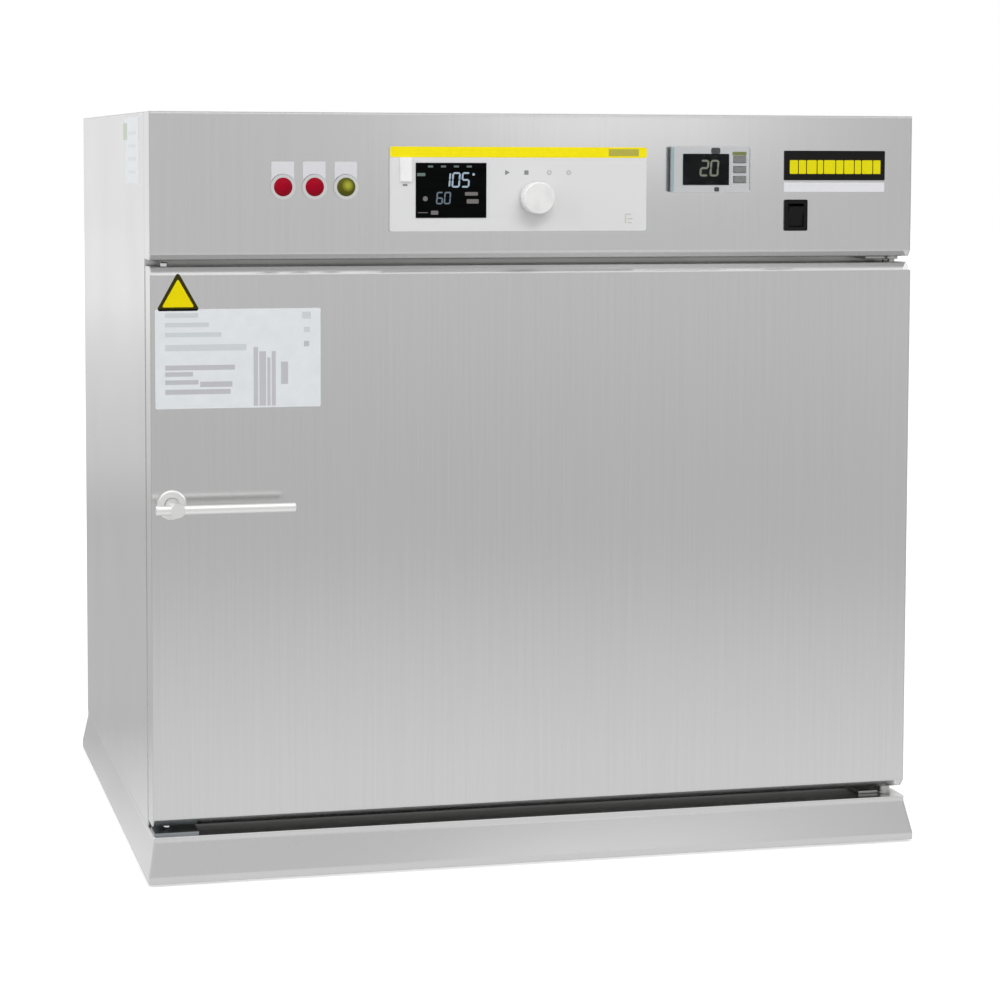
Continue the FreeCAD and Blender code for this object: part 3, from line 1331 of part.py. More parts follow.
def handle_lever():
    """A round bar across a neck that is bored for the spindle."""
    bar_y = DOOR_FRONT - LEVER_REACH
    x0 = PIVOT_X - BAR_OVERHANG
    x1 = x0 + BAR_LENGTH - BAR_EDGE
    tip = BAR_RADIUS - BAR_EDGE
    bar = rod(BAR_RADIUS, V(x0 + BAR_EDGE, bar_y, PIVOT_Z), AXIS_X, BAR_LENGTH - 2 * BAR_EDGE)
    end_left = cone(tip, BAR_RADIUS, V(x0, bar_y, PIVOT_Z), AXIS_X, BAR_EDGE)
    end_right = cone(BAR_RADIUS, tip, V(x1, bar_y, PIVOT_Z), AXIS_X, BAR_EDGE)
    front = bar_y - BAR_RADIUS - NECK_PROUD
    neck = rod(NECK_RADIUS, V(PIVOT_X, front, PIVOT_Z), AXIS_Y, DOOR_FRONT - CLEAR - front)
    bore = rod(SPINDLE_RADIUS + RUNNING, V(PIVOT_X, bar_y, PIVOT_Z), AXIS_Y, 2 * LEVER_REACH)
    return fuse([bar, end_left, end_right, neck]).cut(bore)


def rosette():
    """A turned cover ring on the door round the lever's neck."""
    front = V(PIVOT_X, DOOR_FRONT - ROSETTE_THICK, PIVOT_Z)
    disc = rod(ROSETTE_RADIUS, front + V(0, ROSETTE_EDGE, 0), AXIS_Y, ROSETTE_THICK - ROSETTE_EDGE)
    rim = cone(ROSETTE_RADIUS - ROSETTE_EDGE, ROSETTE_RADIUS, front, AXIS_Y, ROSETTE_EDGE)
    hole = rod(NECK_RADIUS + CLEAR, front, AXIS_Y, ROSETTE_THICK)
    return fuse([disc, rim]).cut(hole)


def lock_case():
    """A square sleeve behind the door's front sheet that carries the spindle."""
    x0 = LEFT + SHEET + CASE_SIDE_GAP
    y0 = DOOR_FRONT + SHEET
    z0 = PIVOT_Z - CASE_HALF_HEIGHT
    z1 = PIVOT_Z + CASE_HALF_HEIGHT
    sleeve = box(x0, x0 + CASE_WIDTH, y0, y0 + CASE_DEPTH, z0, z1)
    inside = box(x0 + CASE_WALL, x0 + CASE_WIDTH - CASE_WALL, y0 + CASE_WALL,
                 y0 + CASE_DEPTH - CASE_WALL, z0, z1)
    bearing = rod(SPINDLE_RADIUS + RUNNING, V(PIVOT_X, y0, PIVOT_Z), AXIS_Y, CASE_DEPTH)
    return cut_all(sleeve, [inside, bearing])


def rack_teeth(x_pitch, side, z0, z1):
    """A toothed bar whose teeth face the pinion; side is -1 for the left bar."""
    pitch = math.pi * GEAR_MODULE
    tip = RACK_ADDENDUM * GEAR_MODULE
    root = GEAR_DEDENDUM * GEAR_MODULE
    slope = math.tan(PRESSURE_ANGLE)
    half = pitch / 4 - BACKLASH / 4
    back = x_pitch + side * (root + RACK_BACKING)
    points = [V(back, GEAR_Y, z0), V(x_pitch + side * root, GEAR_Y, z0)]
    first = math.ceil((z0 - PIVOT_Z + root * slope + half) / pitch - 0.5)
    last = math.floor((z1 - PIVOT_Z - root * slope - half) / pitch - 0.5)
    for i in range(first, last + 1):
        middle = PIVOT_Z + (i + 0.5) * pitch
        points += [
            V(x_pitch + side * root, GEAR_Y, middle - half - root * slope),
            V(x_pitch - side * tip, GEAR_Y, middle - half + tip * slope),
            V(x_pitch - side * tip, GEAR_Y, middle + half - tip * slope),
            V(x_pitch + side * root, GEAR_Y, middle + half + root * slope)]
    points += [V(x_pitch + side * root, GEAR_Y, z1), V(back, GEAR_Y, z1)]
    return face_of(points).extrude(V(0, GEAR_WIDTH, 0))


def lock_rod(side, tip_z):
    """One rack with its rod: side is -1 for the bar left of the pinion, which goes up."""
    up = -side
    x_pitch = PIVOT_X + side * GEAR_RADIUS
    ends = [PIVOT_Z - up * RACK_REACH_BACK, PIVOT_Z + up * RACK_REACH_AHEAD]
    bar = rack_teeth(x_pitch, side, min(ends), max(ends))
    outer = bar.BoundBox.XMin if side < 0 else bar.BoundBox.XMax
    inner = x_pitch + side * GEAR_DEDENDUM * GEAR_MODULE
    jog_z = [PIVOT_Z + up * JOG_START, PIVOT_Z + up * (JOG_START + JOG_HEIGHT)]
    riser = box(min(outer, inner), max(outer, inner), GEAR_Y, GEAR_Y + GEAR_WIDTH,
                min(ends[1], jog_z[1]), max(ends[1], jog_z[1]))
    jog_x = [outer, ROD_X - side * ROD_RADIUS]
    jog = box(min(jog_x), max(jog_x), GEAR_Y, GEAR_Y + GEAR_WIDTH, min(jog_z), max(jog_z))
    length = abs(tip_z - jog_z[1]) - ROD_CHAMFER
    stem = rod(ROD_RADIUS, V(ROD_X, ROD_Y, jog_z[1]), V(0, 0, up), length)
    nose = cone(ROD_RADIUS, ROD_RADIUS - ROD_CHAMFER, V(ROD_X, ROD_Y, tip_z - up * ROD_CHAMFER),
                V(0, 0, up), ROD_CHAMFER)
    return fuse([bar, riser, jog, stem, nose])


def rod_keepers():
    """The sockets that the thrown rods enter, above and below the door."""
    hole = ROD_RADIUS + HOLE_CLEAR
    half = KEEPER_HALF
    top = FASCIA_BOTTOM + SHEET
    upper = box(ROD_X - half, ROD_X + half, ROD_Y - half, ROD_Y + half, top, top + KEEPER_DEPTH)
    upper = upper.cut(rod(hole, V(ROD_X, ROD_Y, top), AXIS_Z, KEEPER_DEPTH))
    below = PLINTH_TOP - PLINTH_SHEET
    lower = box(ROD_X - half, ROD_X + half, ROD_Y - half, ROD_Y + half, below - KEEPER_DEPTH, below)
    lower = lower.cut(rod(hole, V(ROD_X, ROD_Y, below - KEEPER_DEPTH), AXIS_Z, KEEPER_DEPTH))
    x0 = LEFT + KEEPER_PLATE_IN
    plate = box(x0, x0 + KEEPER_PLATE_WIDTH, DOOR_FRONT + KEEPER_PLATE, DOOR_FRONT + KEEPER_PLATE_DEPTH,
                PLINTH_TOP, PLINTH_TOP + KEEPER_PLATE)
    plate = plate.cut(rod(hole, V(ROD_X, ROD_Y, PLINTH_TOP), AXIS_Z, KEEPER_PLATE))
    return group([upper, lower, plate])


def build():
    lamps = lamp_places()
    yield "base_plinth", base_plinth()
    yield "rubber_feet", rubber_feet()
    left = side_panel()
    yield "side_panel_left", left
    yield "side_panel_right", mirror_x(left)
    yield "top_cover", top_cover()
    yield "rear_panel", rear_panel()
    yield "rear_screws", rear_screws()
    yield "front_frame", front_frame()
    yield "inner_back_wall", inner_back_wall()
    yield "control_tray", control_tray()
    yield "control_fascia", control_fascia()
    yield "lamp_bezels", lamp_bezels()
    yield "lamp_lenses_red", group([lamp_lens(*lamps[0]), lamp_lens(*lamps[1])])
    yield "lamp_lens_yellow", lamp_lens(*lamps[2])
    yield "controller_panel", controller_panel()
    yield "controller_housing", controller_housing()
    yield "display_window", display_window()
    yield "encoder_shaft", encoder_shaft()
    yield "dial_knob", dial_knob()
    yield "usb_cover", usb_cover()
    yield "limiter_case", limiter_case()
    yield "limiter_window", limiter_window()
    for i in range(LIMITER_KEYS):
        yield "limiter_key_%d" % (i + 1), limiter_key(i)
    yield "limiter_cover", limiter_cover()
    yield "switch_bezel", switch_bezel()
    yield "rocker", rocker()
    yield "badge_plate", badge_plate()
    yield "power_module", power_module()
    yield "chamber_liner", chamber_liner()
    yield "insulation_jacket", insulation_jacket()
    yield "door_gasket", door_gasket()
    rack = shelf_rack()
    yield "shelf_rack_left", rack
    yield "shelf_rack_right", mirror_x(rack)
    for name, level in zip(("shelf_lower", "shelf_upper"), SHELF_LEVELS):
        yield name, wire_shelf(level)
    yield "rear_baffle", rear_baffle()
    yield "fan_wheel", fan_wheel()
    yield "fan_shaft", fan_shaft()
    yield "fan_motor", fan_motor()
    yield "ring_heater", ring_heater()
    yield "temperature_probes", temperature_probes()
    yield "exhaust_duct", exhaust_duct()
    yield "damper_flap", damper_flap()
    yield "air_inlet", air_inlet()
    yield "mains_gland", mains_gland()
    yield "hinge_bracket_upper", hinge_bracket_upper()
    yield "hinge_bracket_lower", hinge_bracket_lower()
    yield "rod_keepers", rod_keepers()
    yield "door_shell", door_shell()
    yield "door_liner", door_liner()
    yield "door_insulation", door_insulation()
    yield "hinge_bushes", hinge_bushes()
    yield "lock_case", lock_case()
    yield "rosette", rosette()
    yield "handle_lever", handle_lever()
    yield "lock_pinion", lock_pinion()
    yield "upper_rod", lock_rod(-1, DOOR_TOP + ROD_SHOWS_TOP)
    yield "lower_rod", lock_rod(1, DOOR_BOTTOM - ROD_SHOWS_BOTTOM)


os.makedirs("parts", exist_ok=True)
for node, shape in build():
    if not shape.isValid():
        raise ValueError("not a valid shape: " + node)
    shape.exportStep("parts/%s.step" % node)
    size = shape.BoundBox
    print("%-22s solids %2d  faces %4d  x %7.1f %7.1f  y %7.1f %7.1f  z %6.1f %6.1f" % (
        node, len(shape.Solids), len(shape.Faces),
        size.XMin, size.XMax, size.YMin, size.YMax, size.ZMin, size.ZMax))
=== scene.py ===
"""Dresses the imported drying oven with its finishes, prints and labels, and sets the studio."""

import math

import bmesh
import bpy
from bpy.props import FloatProperty, FloatVectorProperty, PointerProperty, StringProperty
from mathutils import Euler, Matrix, Vector


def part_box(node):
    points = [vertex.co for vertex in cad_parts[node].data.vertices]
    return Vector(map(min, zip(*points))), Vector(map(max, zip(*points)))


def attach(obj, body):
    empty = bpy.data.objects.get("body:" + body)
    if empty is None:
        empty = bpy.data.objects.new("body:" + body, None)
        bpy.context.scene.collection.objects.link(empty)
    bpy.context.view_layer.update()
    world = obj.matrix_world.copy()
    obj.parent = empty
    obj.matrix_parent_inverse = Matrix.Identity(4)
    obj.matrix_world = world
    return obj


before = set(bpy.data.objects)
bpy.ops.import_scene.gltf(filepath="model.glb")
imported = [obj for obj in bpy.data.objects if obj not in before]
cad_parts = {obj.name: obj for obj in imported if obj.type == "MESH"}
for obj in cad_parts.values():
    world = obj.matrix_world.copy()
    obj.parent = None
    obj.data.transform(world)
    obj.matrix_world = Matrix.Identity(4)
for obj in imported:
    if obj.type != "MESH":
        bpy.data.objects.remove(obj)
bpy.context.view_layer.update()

bl_info = {
    "name": "Drying oven",
    "version": (1, 0, 0),
    "blender": (4, 5, 0),
    "location": "3D View > Sidebar > Oven",
    "description": "Finishes, prints, labels and studio of a bench drying oven",
    "category": "Object",
}

MM = 0.001

# How thick the lit bars on the screens and the small raised trims are
LIT_THICK = 0.1 * MM
TRIM_THICK = 0.3 * MM

# Each face that carries prints: where right, up and outwards point on it
FRONT_FACE = (Vector((1, 0, 0)), Vector((0, 0, 1)), Vector((0, -1, 0)))
LEFT_FACE = (Vector((0, -1, 0)), Vector((0, 0, 1)), Vector((-1, 0, 0)))

# The bars that light up for each number, named clockwise from the top, g in the middle
LIT_BARS = {
    "0": "abcdef", "1": "bc", "2": "abged", "3": "abgcd", "4": "fgbc",
    "5": "afgcd", "6": "afgedc", "7": "abc", "8": "abcdefg", "9": "abcdfg",
}


def linear(code):
    """The linear colour of an sRGB hex code."""
    values = []
    for i in (1, 3, 5):
        part = int(code[i:i + 2], 16) / 255
        values.append(part / 12.92 if part <= 0.04045 else ((part + 0.055) / 1.055) ** 2.4)
    return values + [1.0]


def colour_property(name, description, code):
    return FloatVectorProperty(name=name, description=description, subtype="COLOR", size=4,
                               min=0, max=1, default=linear(code))


class OvenColours(bpy.types.PropertyGroup):
    """Colours of the finishes that a user may change."""
    steel: colour_property("Cabinet steel", "Ground stainless sheet of cabinet and door", "#d6d6d6")
    panel: colour_property("Controller plate", "Moulded front of the controller", "#e3e3e4")
    stripe: colour_property("Stripe", "Printed stripe along the controller plate", "#fceb16")
    lamp: colour_property("Signal lamps", "Lens of the two like signal lamps", "#a60022")
    # The ready lamp is not lit: its colour is the painted highlight on the lens, and a darker tone of
    # it elsewhere.
    ready_lamp: colour_property("Ready lamp", "Lit part of the third signal lamp", "#b0b13a")
    label: colour_property("Labels", "Film of the printed labels", "#e5e9ec")


class OvenPrints(bpy.types.PropertyGroup):
    """Sizes and readings of what is printed or shown on the front."""
    stripe_height: FloatProperty(name="Stripe height", description="Height of the printed stripe",
                                 default=12 * MM, unit="LENGTH")
    film: FloatProperty(name="Film thickness", description="Thickness of labels and prints",
                        default=0.15 * MM, unit="LENGTH")
    reading: StringProperty(name="Reading", description="Large number on the display",
                            default="105")
    set_point: StringProperty(name="Set point", description="Small number on the display",
                              default="60")
    limit: StringProperty(name="Limit", description="Number on the limiter", default="20")


class OvenStudio(bpy.types.PropertyGroup):
    """Light and viewpoint of the studio."""
    sky: FloatProperty(name="Sky", description="Strength of the even light", default=0.62, min=0)
    key: FloatProperty(name="Key light", description="Power of the large front light",
                       default=115, min=0, unit="POWER")
    floor: colour_property("Floor", "Pale studio floor", "#bfbfbf")
    camera_place: FloatVectorProperty(name="Camera", description="Where the camera stands",
                                      subtype="TRANSLATION", size=3,
                                      default=(-0.823, -3.442, 0.820))
    camera_turn: FloatProperty(name="Turn", description="Turn of the camera to the right",
                               default=math.radians(14.12), unit="ROTATION")
    camera_dip: FloatProperty(name="Dip", description="Tilt of the camera downwards",
                              default=math.radians(4.26), unit="ROTATION")
    camera_roll: FloatProperty(name="Roll", description="Roll of the camera to the left",
                               default=math.radians(0.2), unit="ROTATION")
    lens: FloatProperty(name="Lens", description="Focal length in millimetres", default=100)
    shift: FloatProperty(name="Shift", description="Shift of the frame downwards, in picture widths",
                         default=0.14)


# Shader helpers


def put(tree, kind, settings=None, feeds=None):
    """Adds one node: its own settings, and a value or an output for each socket."""
    made = tree.nodes.new("ShaderNode" + kind)
    for name, value in (settings or {}).items():
        setattr(made, name, value)
    for name, value in (feeds or {}).items():
        if isinstance(value, bpy.types.NodeSocket):
            tree.links.new(value, made.inputs[name])
        else:
            made.inputs[name].default_value = value
    return made


def start_material(name, colour, roughness, metallic=0.0):
    """A material with one shader, and the place in the model as its coordinates."""
    material = bpy.data.materials.new(name)
    material.use_nodes = True
    tree = material.node_tree
    tree.nodes.clear()
    feeds = {"Base Color": colour, "Roughness": roughness, "Metallic": metallic}
    shader = put(tree, "BsdfPrincipled", feeds=feeds)
    put(tree, "OutputMaterial", feeds={"Surface": shader.outputs["BSDF"]})
    place = put(tree, "TexCoord").outputs["Object"]
    return material, tree, shader, place


def grain(tree, place, size, detail=3.0):
    """Noise whose spots are size metres across, or longer along an axis if size is a vector."""
    if not isinstance(size, tuple):
        size = (size, size, size)
    scale = put(tree, "Mapping", feeds={"Vector": place, "Scale": [1 / s for s in size]})
    feeds = {"Vector": scale.outputs["Vector"], "Scale": 1.0, "Detail": detail}
    return put(tree, "TexNoise", feeds=feeds).outputs["Fac"]


def spread(tree, pattern, low, high):
    """The pattern's middle part stretched between two values."""
    feeds = {"Value": pattern, "From Min": 0.3, "From Max": 0.7, "To Min": low, "To Max": high}
    return put(tree, "MapRange", feeds=feeds).outputs["Result"]


def tint(tree, pattern, first, second):
    """A colour between two, by the pattern."""
    factor = spread(tree, pattern, 0.0, 1.0)
    return put(tree, "Mix", {"data_type": "RGBA"}, {0: factor, 6: first, 7: second}).outputs[2]


def two_tones(tree, shader, pattern, first, second):
    """Colours the surface between two tones, by the pattern."""
    tree.links.new(tint(tree, pattern, first, second), shader.inputs["Base Color"])


def uneven_gloss(tree, shader, pattern, low, high):
    """Makes the surface rougher and smoother between two values, by the pattern."""
    tree.links.new(spread(tree, pattern, low, high), shader.inputs["Roughness"])


def relief(tree, shader, height, depth, edge=0.0):
    """Raises the surface by the pattern, depth metres from low to high, and rounds its edges."""
    bump = put(tree, "Bump", feeds={"Height": height, "Distance": depth, "Strength": 1.0})
    if edge:
        rounding = put(tree, "Bevel", {"samples": 8}, {"Radius": edge})
        tree.links.new(rounding.outputs["Normal"], bump.inputs["Normal"])
    tree.links.new(bump.outputs["Normal"], shader.inputs["Normal"])


def ramp(tree, value, first, last, low, high):
    """Goes from low at first to high at last, and stays there."""
    feeds = {"Value": value, "From Min": first, "From Max": last, "To Min": low, "To Max": high}
    return put(tree, "MapRange", feeds=feeds).outputs["Result"]


def add(tree, first, second):
    return put(tree, "Math", {"operation": "ADD"}, {0: first, 1: second}).outputs[0]


def painted_seam_shade(tree, colour, reach, deepest):
    """Painted shade: the colour darkened where other sheets stand within reach, down to the deepest
    factor.
    """
    openness = put(tree, "AmbientOcclusion", {"samples": 8}, {"Distance": reach}).outputs["AO"]
    factor = ramp(tree, openness, 0.1, 0.5, deepest, 1.0)
    scaled = put(tree, "VectorMath", {"operation": "SCALE"}, {"Vector": colour, "Scale": factor})
    return scaled.outputs["Vector"]


def shade(colour, amount):
    """The colour made lighter or darker by a factor."""
    return [min(1.0, part * amount) for part in colour[:3]] + [1.0]


def finish(maker):
    """The material that a maker gives, made on first use and named after it."""
    return bpy.data.materials.get(maker.__name__) or maker(maker.__name__)


def colours():
    return bpy.context.scene.oven_colours


# Metals


def ground_stainless(name):
    """Stainless sheet, belt-ground upright."""
    # Upright grinding gives sharp upright, wide sideways mirror images and faint upright lines.
    # The real lines are under 0.1 mm apart and are drawn 1.5 mm apart, so that they just show.
    # Painted shade: the steel is darkened in seams and gaps near other sheets, where little light gets
    # in.
    steel = list(colours().steel)
    material, tree, shader, place = start_material(name, steel, 0.2, 1.0)
    lines = grain(tree, place, (1.5 * MM, 1.5 * MM, 200 * MM))
    clouds = grain(tree, place, 160 * MM)
    colour = tint(tree, lines, shade(steel, 0.985), shade(steel, 1.015))
    colour = painted_seam_shade(tree, colour, 28 * MM, 0.25)
    sideways = put(tree, "CombineXYZ", feeds={"X": 1.0, "Y": 1.0})
    tree.links.new(colour, shader.inputs["Base Color"])
    uneven_gloss(tree, shader, clouds, 0.16, 0.19)
    tree.links.new(sideways.outputs["Vector"], shader.inputs["Tangent"])
    shader.inputs["Anisotropic"].default_value = 0.6
    relief(tree, shader, lines, 0.0002 * MM, 3 * MM)
    return material


def rolled_stainless(name):
    """Cold-rolled stainless sheet with a milky, even sheen."""
    steel = linear("#b4b4b2")
    material, tree, shader, place = start_material(name, steel, 0.3, 1.0)
    clouds = grain(tree, place, 70 * MM)
    two_tones(tree, shader, clouds, shade(steel, 0.94), shade(steel, 1.05))
    uneven_gloss(tree, shader, clouds, 0.27, 0.36)
    relief(tree, shader, grain(tree, place, 30 * MM), 0.02 * MM, 1.5 * MM)
    return material


def galvanised_sheet(name):
    """Hot-dipped zinc with its spangle of crystals, about 12 mm across."""
    zinc = linear("#a6abae")
    material, tree, shader, place = start_material(name, zinc, 0.4, 1.0)
    cells = put(tree, "TexVoronoi", feeds={"Vector": place, "Scale": 1 / (12 * MM)})
    tone = put(tree, "SeparateColor", feeds={"Color": cells.outputs["Color"]}).outputs["Red"]
    two_tones(tree, shader, tone, shade(zinc, 0.96), shade(zinc, 1.05))
    uneven_gloss(tree, shader, tone, 0.4, 0.47)
    return material


def polished_bar(name):
    """Turned and polished stainless bar: almost a mirror, with faint turning rings."""
    steel = linear("#e6e6e6")
    material, tree, shader, place = start_material(name, steel, 0.12, 1.0)
    rings = grain(tree, place, (1.2 * MM, 40 * MM, 40 * MM))
    uneven_gloss(tree, shader, rings, 0.14, 0.22)
    relief(tree, shader, rings, 0.002 * MM)
    return material


def satin_bar(name):
    """Stainless bar, bead-blasted and electropolished: pale, soft and even."""
    steel = linear("#f6f6f5")
    material, tree, shader, place = start_material(name, steel, 0.36, 1.0)
    beads = grain(tree, place, 1.0 * MM)
    uneven_gloss(tree, shader, beads, 0.32, 0.42)
    two_tones(tree, shader, beads, shade(steel, 0.97), shade(steel, 1.02))
    relief(tree, shader, beads, 0.004 * MM)
    return material


def drawn_wire(name):
    """Drawn stainless wire and rod, electropolished, with draw marks along it."""
    steel = linear("#c4c4c2")
    material, tree, shader, place = start_material(name, steel, 0.24, 1.0)
    marks = grain(tree, place, (2 * MM, 60 * MM, 2 * MM))
    uneven_gloss(tree, shader, marks, 0.2, 0.32)
    relief(tree, shader, marks, 0.004 * MM)
    return material


def heat_tinted_tube(name):
    """Heater sheath, oxidised by heat from straw to grey blue in patches."""
    material, tree, shader, place = start_material(name, linear("#5d554c"), 0.42, 1.0)
    patches = grain(tree, place, 26 * MM)
    two_tones(tree, shader, patches, linear("#6b5a45"), linear("#4a4d57"))
    relief(tree, shader, grain(tree, place, 1.5 * MM), 0.02 * MM)
    return material


def pressed_steel(name):
    """Deep-drawn stainless of wheel and pipes, with soft streaks from the press."""
    steel = linear("#aaaaa8")
    material, tree, shader, place = start_material(name, steel, 0.34, 1.0)
    streaks = grain(tree, place, (8 * MM, 60 * MM, 8 * MM))
    two_tones(tree, shader, streaks, shade(steel, 0.9), shade(steel, 1.06))
    uneven_gloss(tree, shader, streaks, 0.28, 0.42)
    return material


def cast_aluminium(name):
    """Sand-cast alloy with a grain of about a millimetre."""
    alloy = linear("#8b8e90")
    material, tree, shader, place = start_material(name, alloy, 0.55, 1.0)
    sand = grain(tree, place, 1.2 * MM)
    two_tones(tree, shader, sand, shade(alloy, 0.85), shade(alloy, 1.1))
    relief(tree, shader, sand, 0.12 * MM)
    return material


# Plastics, rubber, wool and glass


def moulded_rubber(name):
    """Black rubber pads with a dull, slightly dusty skin."""
    material, tree, shader, place = start_material(name, linear("#1a1a1a"), 0.75)
    dust = grain(tree, place, 9 * MM)
    two_tones(tree, shader, dust, linear("#151515"), linear("#272625"))
    relief(tree, shader, grain(tree, place, 0.8 * MM), 0.05 * MM)
    return material


def silicone_seal(name):
    """Extruded silicone, brick red, soft and slightly see-through at the skin."""
    material, tree, shader, place = start_material(name, linear("#8c3b2a"), 0.48)
    shader.inputs["IOR"].default_value = 1.41
    shader.inputs["Subsurface Weight"].default_value = 0.1
    shader.inputs["Subsurface Scale"].default_value = 2 * MM
    drag = grain(tree, place, (30 * MM, 2 * MM, 30 * MM))
    two_tones(tree, shader, drag, linear("#84362a"), linear("#96412e"))
    relief(tree, shader, drag, 0.04 * MM)
    return material


def mineral_wool(name):
    """Pressed rock fibre, tangled strands of a few millimetres."""
    material, tree, shader, place = start_material(name, linear("#a99a70"), 0.95)
    shader.inputs["Sheen Weight"].default_value = 0.3
    strands = grain(tree, place, (1.5 * MM, 9 * MM, 3 * MM), 8.0)
    two_tones(tree, shader, strands, linear("#8d7f59"), linear("#bfb187"))
    relief(tree, shader, strands, 0.9 * MM)
    return material


def textured_abs(name):
    """Moulded ABS with a fine spark-eroded texture, drawn 1 mm wide so that it shows."""
    panel = list(colours().panel)
    material, tree, shader, place = start_material(name, panel, 0.45)
    shader.inputs["IOR"].default_value = 1.53
    sparks = grain(tree, place, 1 * MM)
    two_tones(tree, shader, sparks, shade(panel, 0.985), shade(panel, 1.01))
    relief(tree, shader, sparks, 0.008 * MM)
    return material


def satin_polycarbonate(name):
    """White moulded knob, satin, with the gate's faint flow marks."""
    material, tree, shader, place = start_material(name, linear("#ececec"), 0.38)
    shader.inputs["IOR"].default_value = 1.58
    flow = grain(tree, place, 12 * MM)
    two_tones(tree, shader, flow, linear("#e6e6e6"), linear("#f1f1f0"))
    uneven_gloss(tree, shader, flow, 0.34, 0.44)
    return material


def white_polypropylene(name):
    """Bright white moulded flap, soft gloss, with a faint cloudiness."""
    material, tree, shader, place = start_material(name, linear("#f8f8f8"), 0.3)
    shader.inputs["IOR"].default_value = 1.49
    flow = grain(tree, place, 6 * MM)
    two_tones(tree, shader, flow, linear("#f4f4f4"), linear("#fbfbfb"))
    return material


def grey_housing(name):
    """Pale grey housing of the limiter behind its clear lid, fine matt grain."""
    material, tree, shader, place = start_material(name, linear("#c7c9cb"), 0.5)
    shader.inputs["IOR"].default_value = 1.53
    sparks = grain(tree, place, 1 * MM)
    two_tones(tree, shader, sparks, linear("#c2c4c6"), linear("#cccecf"))
    relief(tree, shader, sparks, 0.01 * MM)
    return material


def black_nylon(name):
    """Black glass-filled nylon, matt with cloudy fibre ends."""
    material, tree, shader, place = start_material(name, linear("#131111"), 0.4)
    shader.inputs["IOR"].default_value = 1.53
    shader.inputs["Specular IOR Level"].default_value = 0.15
    fibres = grain(tree, place, (2 * MM, 2 * MM, 0.8 * MM))
    two_tones(tree, shader, fibres, linear("#0e0d0d"), linear("#181616"))
    uneven_gloss(tree, shader, fibres, 0.33, 0.5)
    relief(tree, shader, fibres, 0.01 * MM)
    return material


def acrylic_screen(name):
    """Black-backed acrylic window, glossy under a coat against glare, with faint wiping haze."""
    material, tree, shader, place = start_material(name, linear("#050606"), 0.1)
    shader.inputs["IOR"].default_value = 1.49
    shader.inputs["Specular IOR Level"].default_value = 0.03
    wipes = grain(tree, place, (30 * MM, 30 * MM, 4 * MM))
    uneven_gloss(tree, shader, wipes, 0.12, 0.24)
    two_tones(tree, shader, wipes, linear("#030404"), linear("#080909"))
    return material


def grey_keys(name):
    """Grey moulded keys, matt from touch at the middle."""
    material, tree, shader, place = start_material(name, linear("#7c7c7b"), 0.5)
    wear = grain(tree, place, 5 * MM)
    uneven_gloss(tree, shader, wear, 0.36, 0.58)
    two_tones(tree, shader, wear, linear("#767675"), linear("#848483"))
    return material


def clear_polycarbonate(name):
    """Clear moulded lid: mostly see-through, with a cool cast and a coat against glare."""
    material, tree, shader, place = start_material(name, linear("#d6e2e6"), 0.06)
    shader.inputs["IOR"].default_value = 1.58
    shader.inputs["Specular IOR Level"].default_value = 0.2
    haze = grain(tree, place, 20 * MM)
    tree.links.new(spread(tree, haze, 0.003, 0.01), shader.inputs["Alpha"])
    return material


def moulded_lens(name, colour):
    """Tinted acrylic with moulded prisms inside, half matt; the last value is its body colour."""
    material, tree, shader, place = start_material(name, colour, 0.35)
    shader.inputs["IOR"].default_value = 1.49
    shader.inputs["Specular IOR Level"].default_value = 0.1
    prisms = grain(tree, place, 2 * MM)
    relief(tree, shader, prisms, 0.05 * MM)
    return material, tree, shader, place, tint(tree, prisms, colour, shade(colour, 0.8))


def red_lens(name):
    """Red lens, darker towards its rim, where more of the moulding is looked through."""
    red = list(colours().lamp)
    material, tree, shader, place, body = moulded_lens(name, red)
    facing = put(tree, "LayerWeight", feeds={"Blend": 0.2}).outputs["Facing"]
    mixed = put(tree, "Mix", {"data_type": "RGBA"}, {0: facing, 6: body, 7: shade(red, 0.2)})
    tree.links.new(mixed.outputs[2], shader.inputs["Base Color"])
    return material


def olive_lens(name):
    """Yellow lens that looks dark olive, with a painted highlight: a pale spot up and right of the
    middle.
    """
    olive = list(colours().ready_lamp)
    material, tree, shader, place, body = moulded_lens(name, olive)
    # Painted highlight: the lens keeps its pale colour round a spot up and right of the middle, and
    # darkens away from it.
    low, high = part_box("lamp_lens_yellow")
    highlight_spot = (low + high) / 2 + Vector((1.5 * MM, 0, 1.5 * MM))
    highlight_spot.y = low.y
    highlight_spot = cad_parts["lamp_lens_yellow"].matrix_world.inverted() @ highlight_spot
    away = put(tree, "VectorMath", {"operation": "DISTANCE"}, {0: place, 1: highlight_spot}).outputs["Value"]
    factor = ramp(tree, away, 2 * MM, 7.5 * MM, 0.0, 1.0)
    mixed = put(tree, "Mix", {"data_type": "RGBA"}, {0: factor, 6: body, 7: shade(olive, 0.22)})
    tree.links.new(mixed.outputs[2], shader.inputs["Base Color"])
    return material


# Films, inks and lit bars


def printed(name, code, roughness=0.45):
    """Screen-printed ink or dyed film: even, with a slight mottle of the print."""
    material = bpy.data.materials.get(name)
    if material:
        return material
    colour = linear(code)
    material, tree, shader, place = start_material(name, colour, roughness)
    shader.inputs["Specular IOR Level"].default_value = 0.1
    mottle = grain(tree, place, 1.5 * MM)
    two_tones(tree, shader, mottle, shade(colour, 0.96), shade(colour, 1.03))
    return material


def vinyl_film(name):
    """White self-adhesive film, calendered, with a slight orange peel."""
    film = list(colours().label)
    material, tree, shader, place = start_material(name, film, 0.35)
    peel = grain(tree, place, 14 * MM)
    two_tones(tree, shader, peel, shade(film, 0.97), shade(film, 1.02))
    relief(tree, shader, grain(tree, place, 3 * MM), 0.01 * MM)
    return material


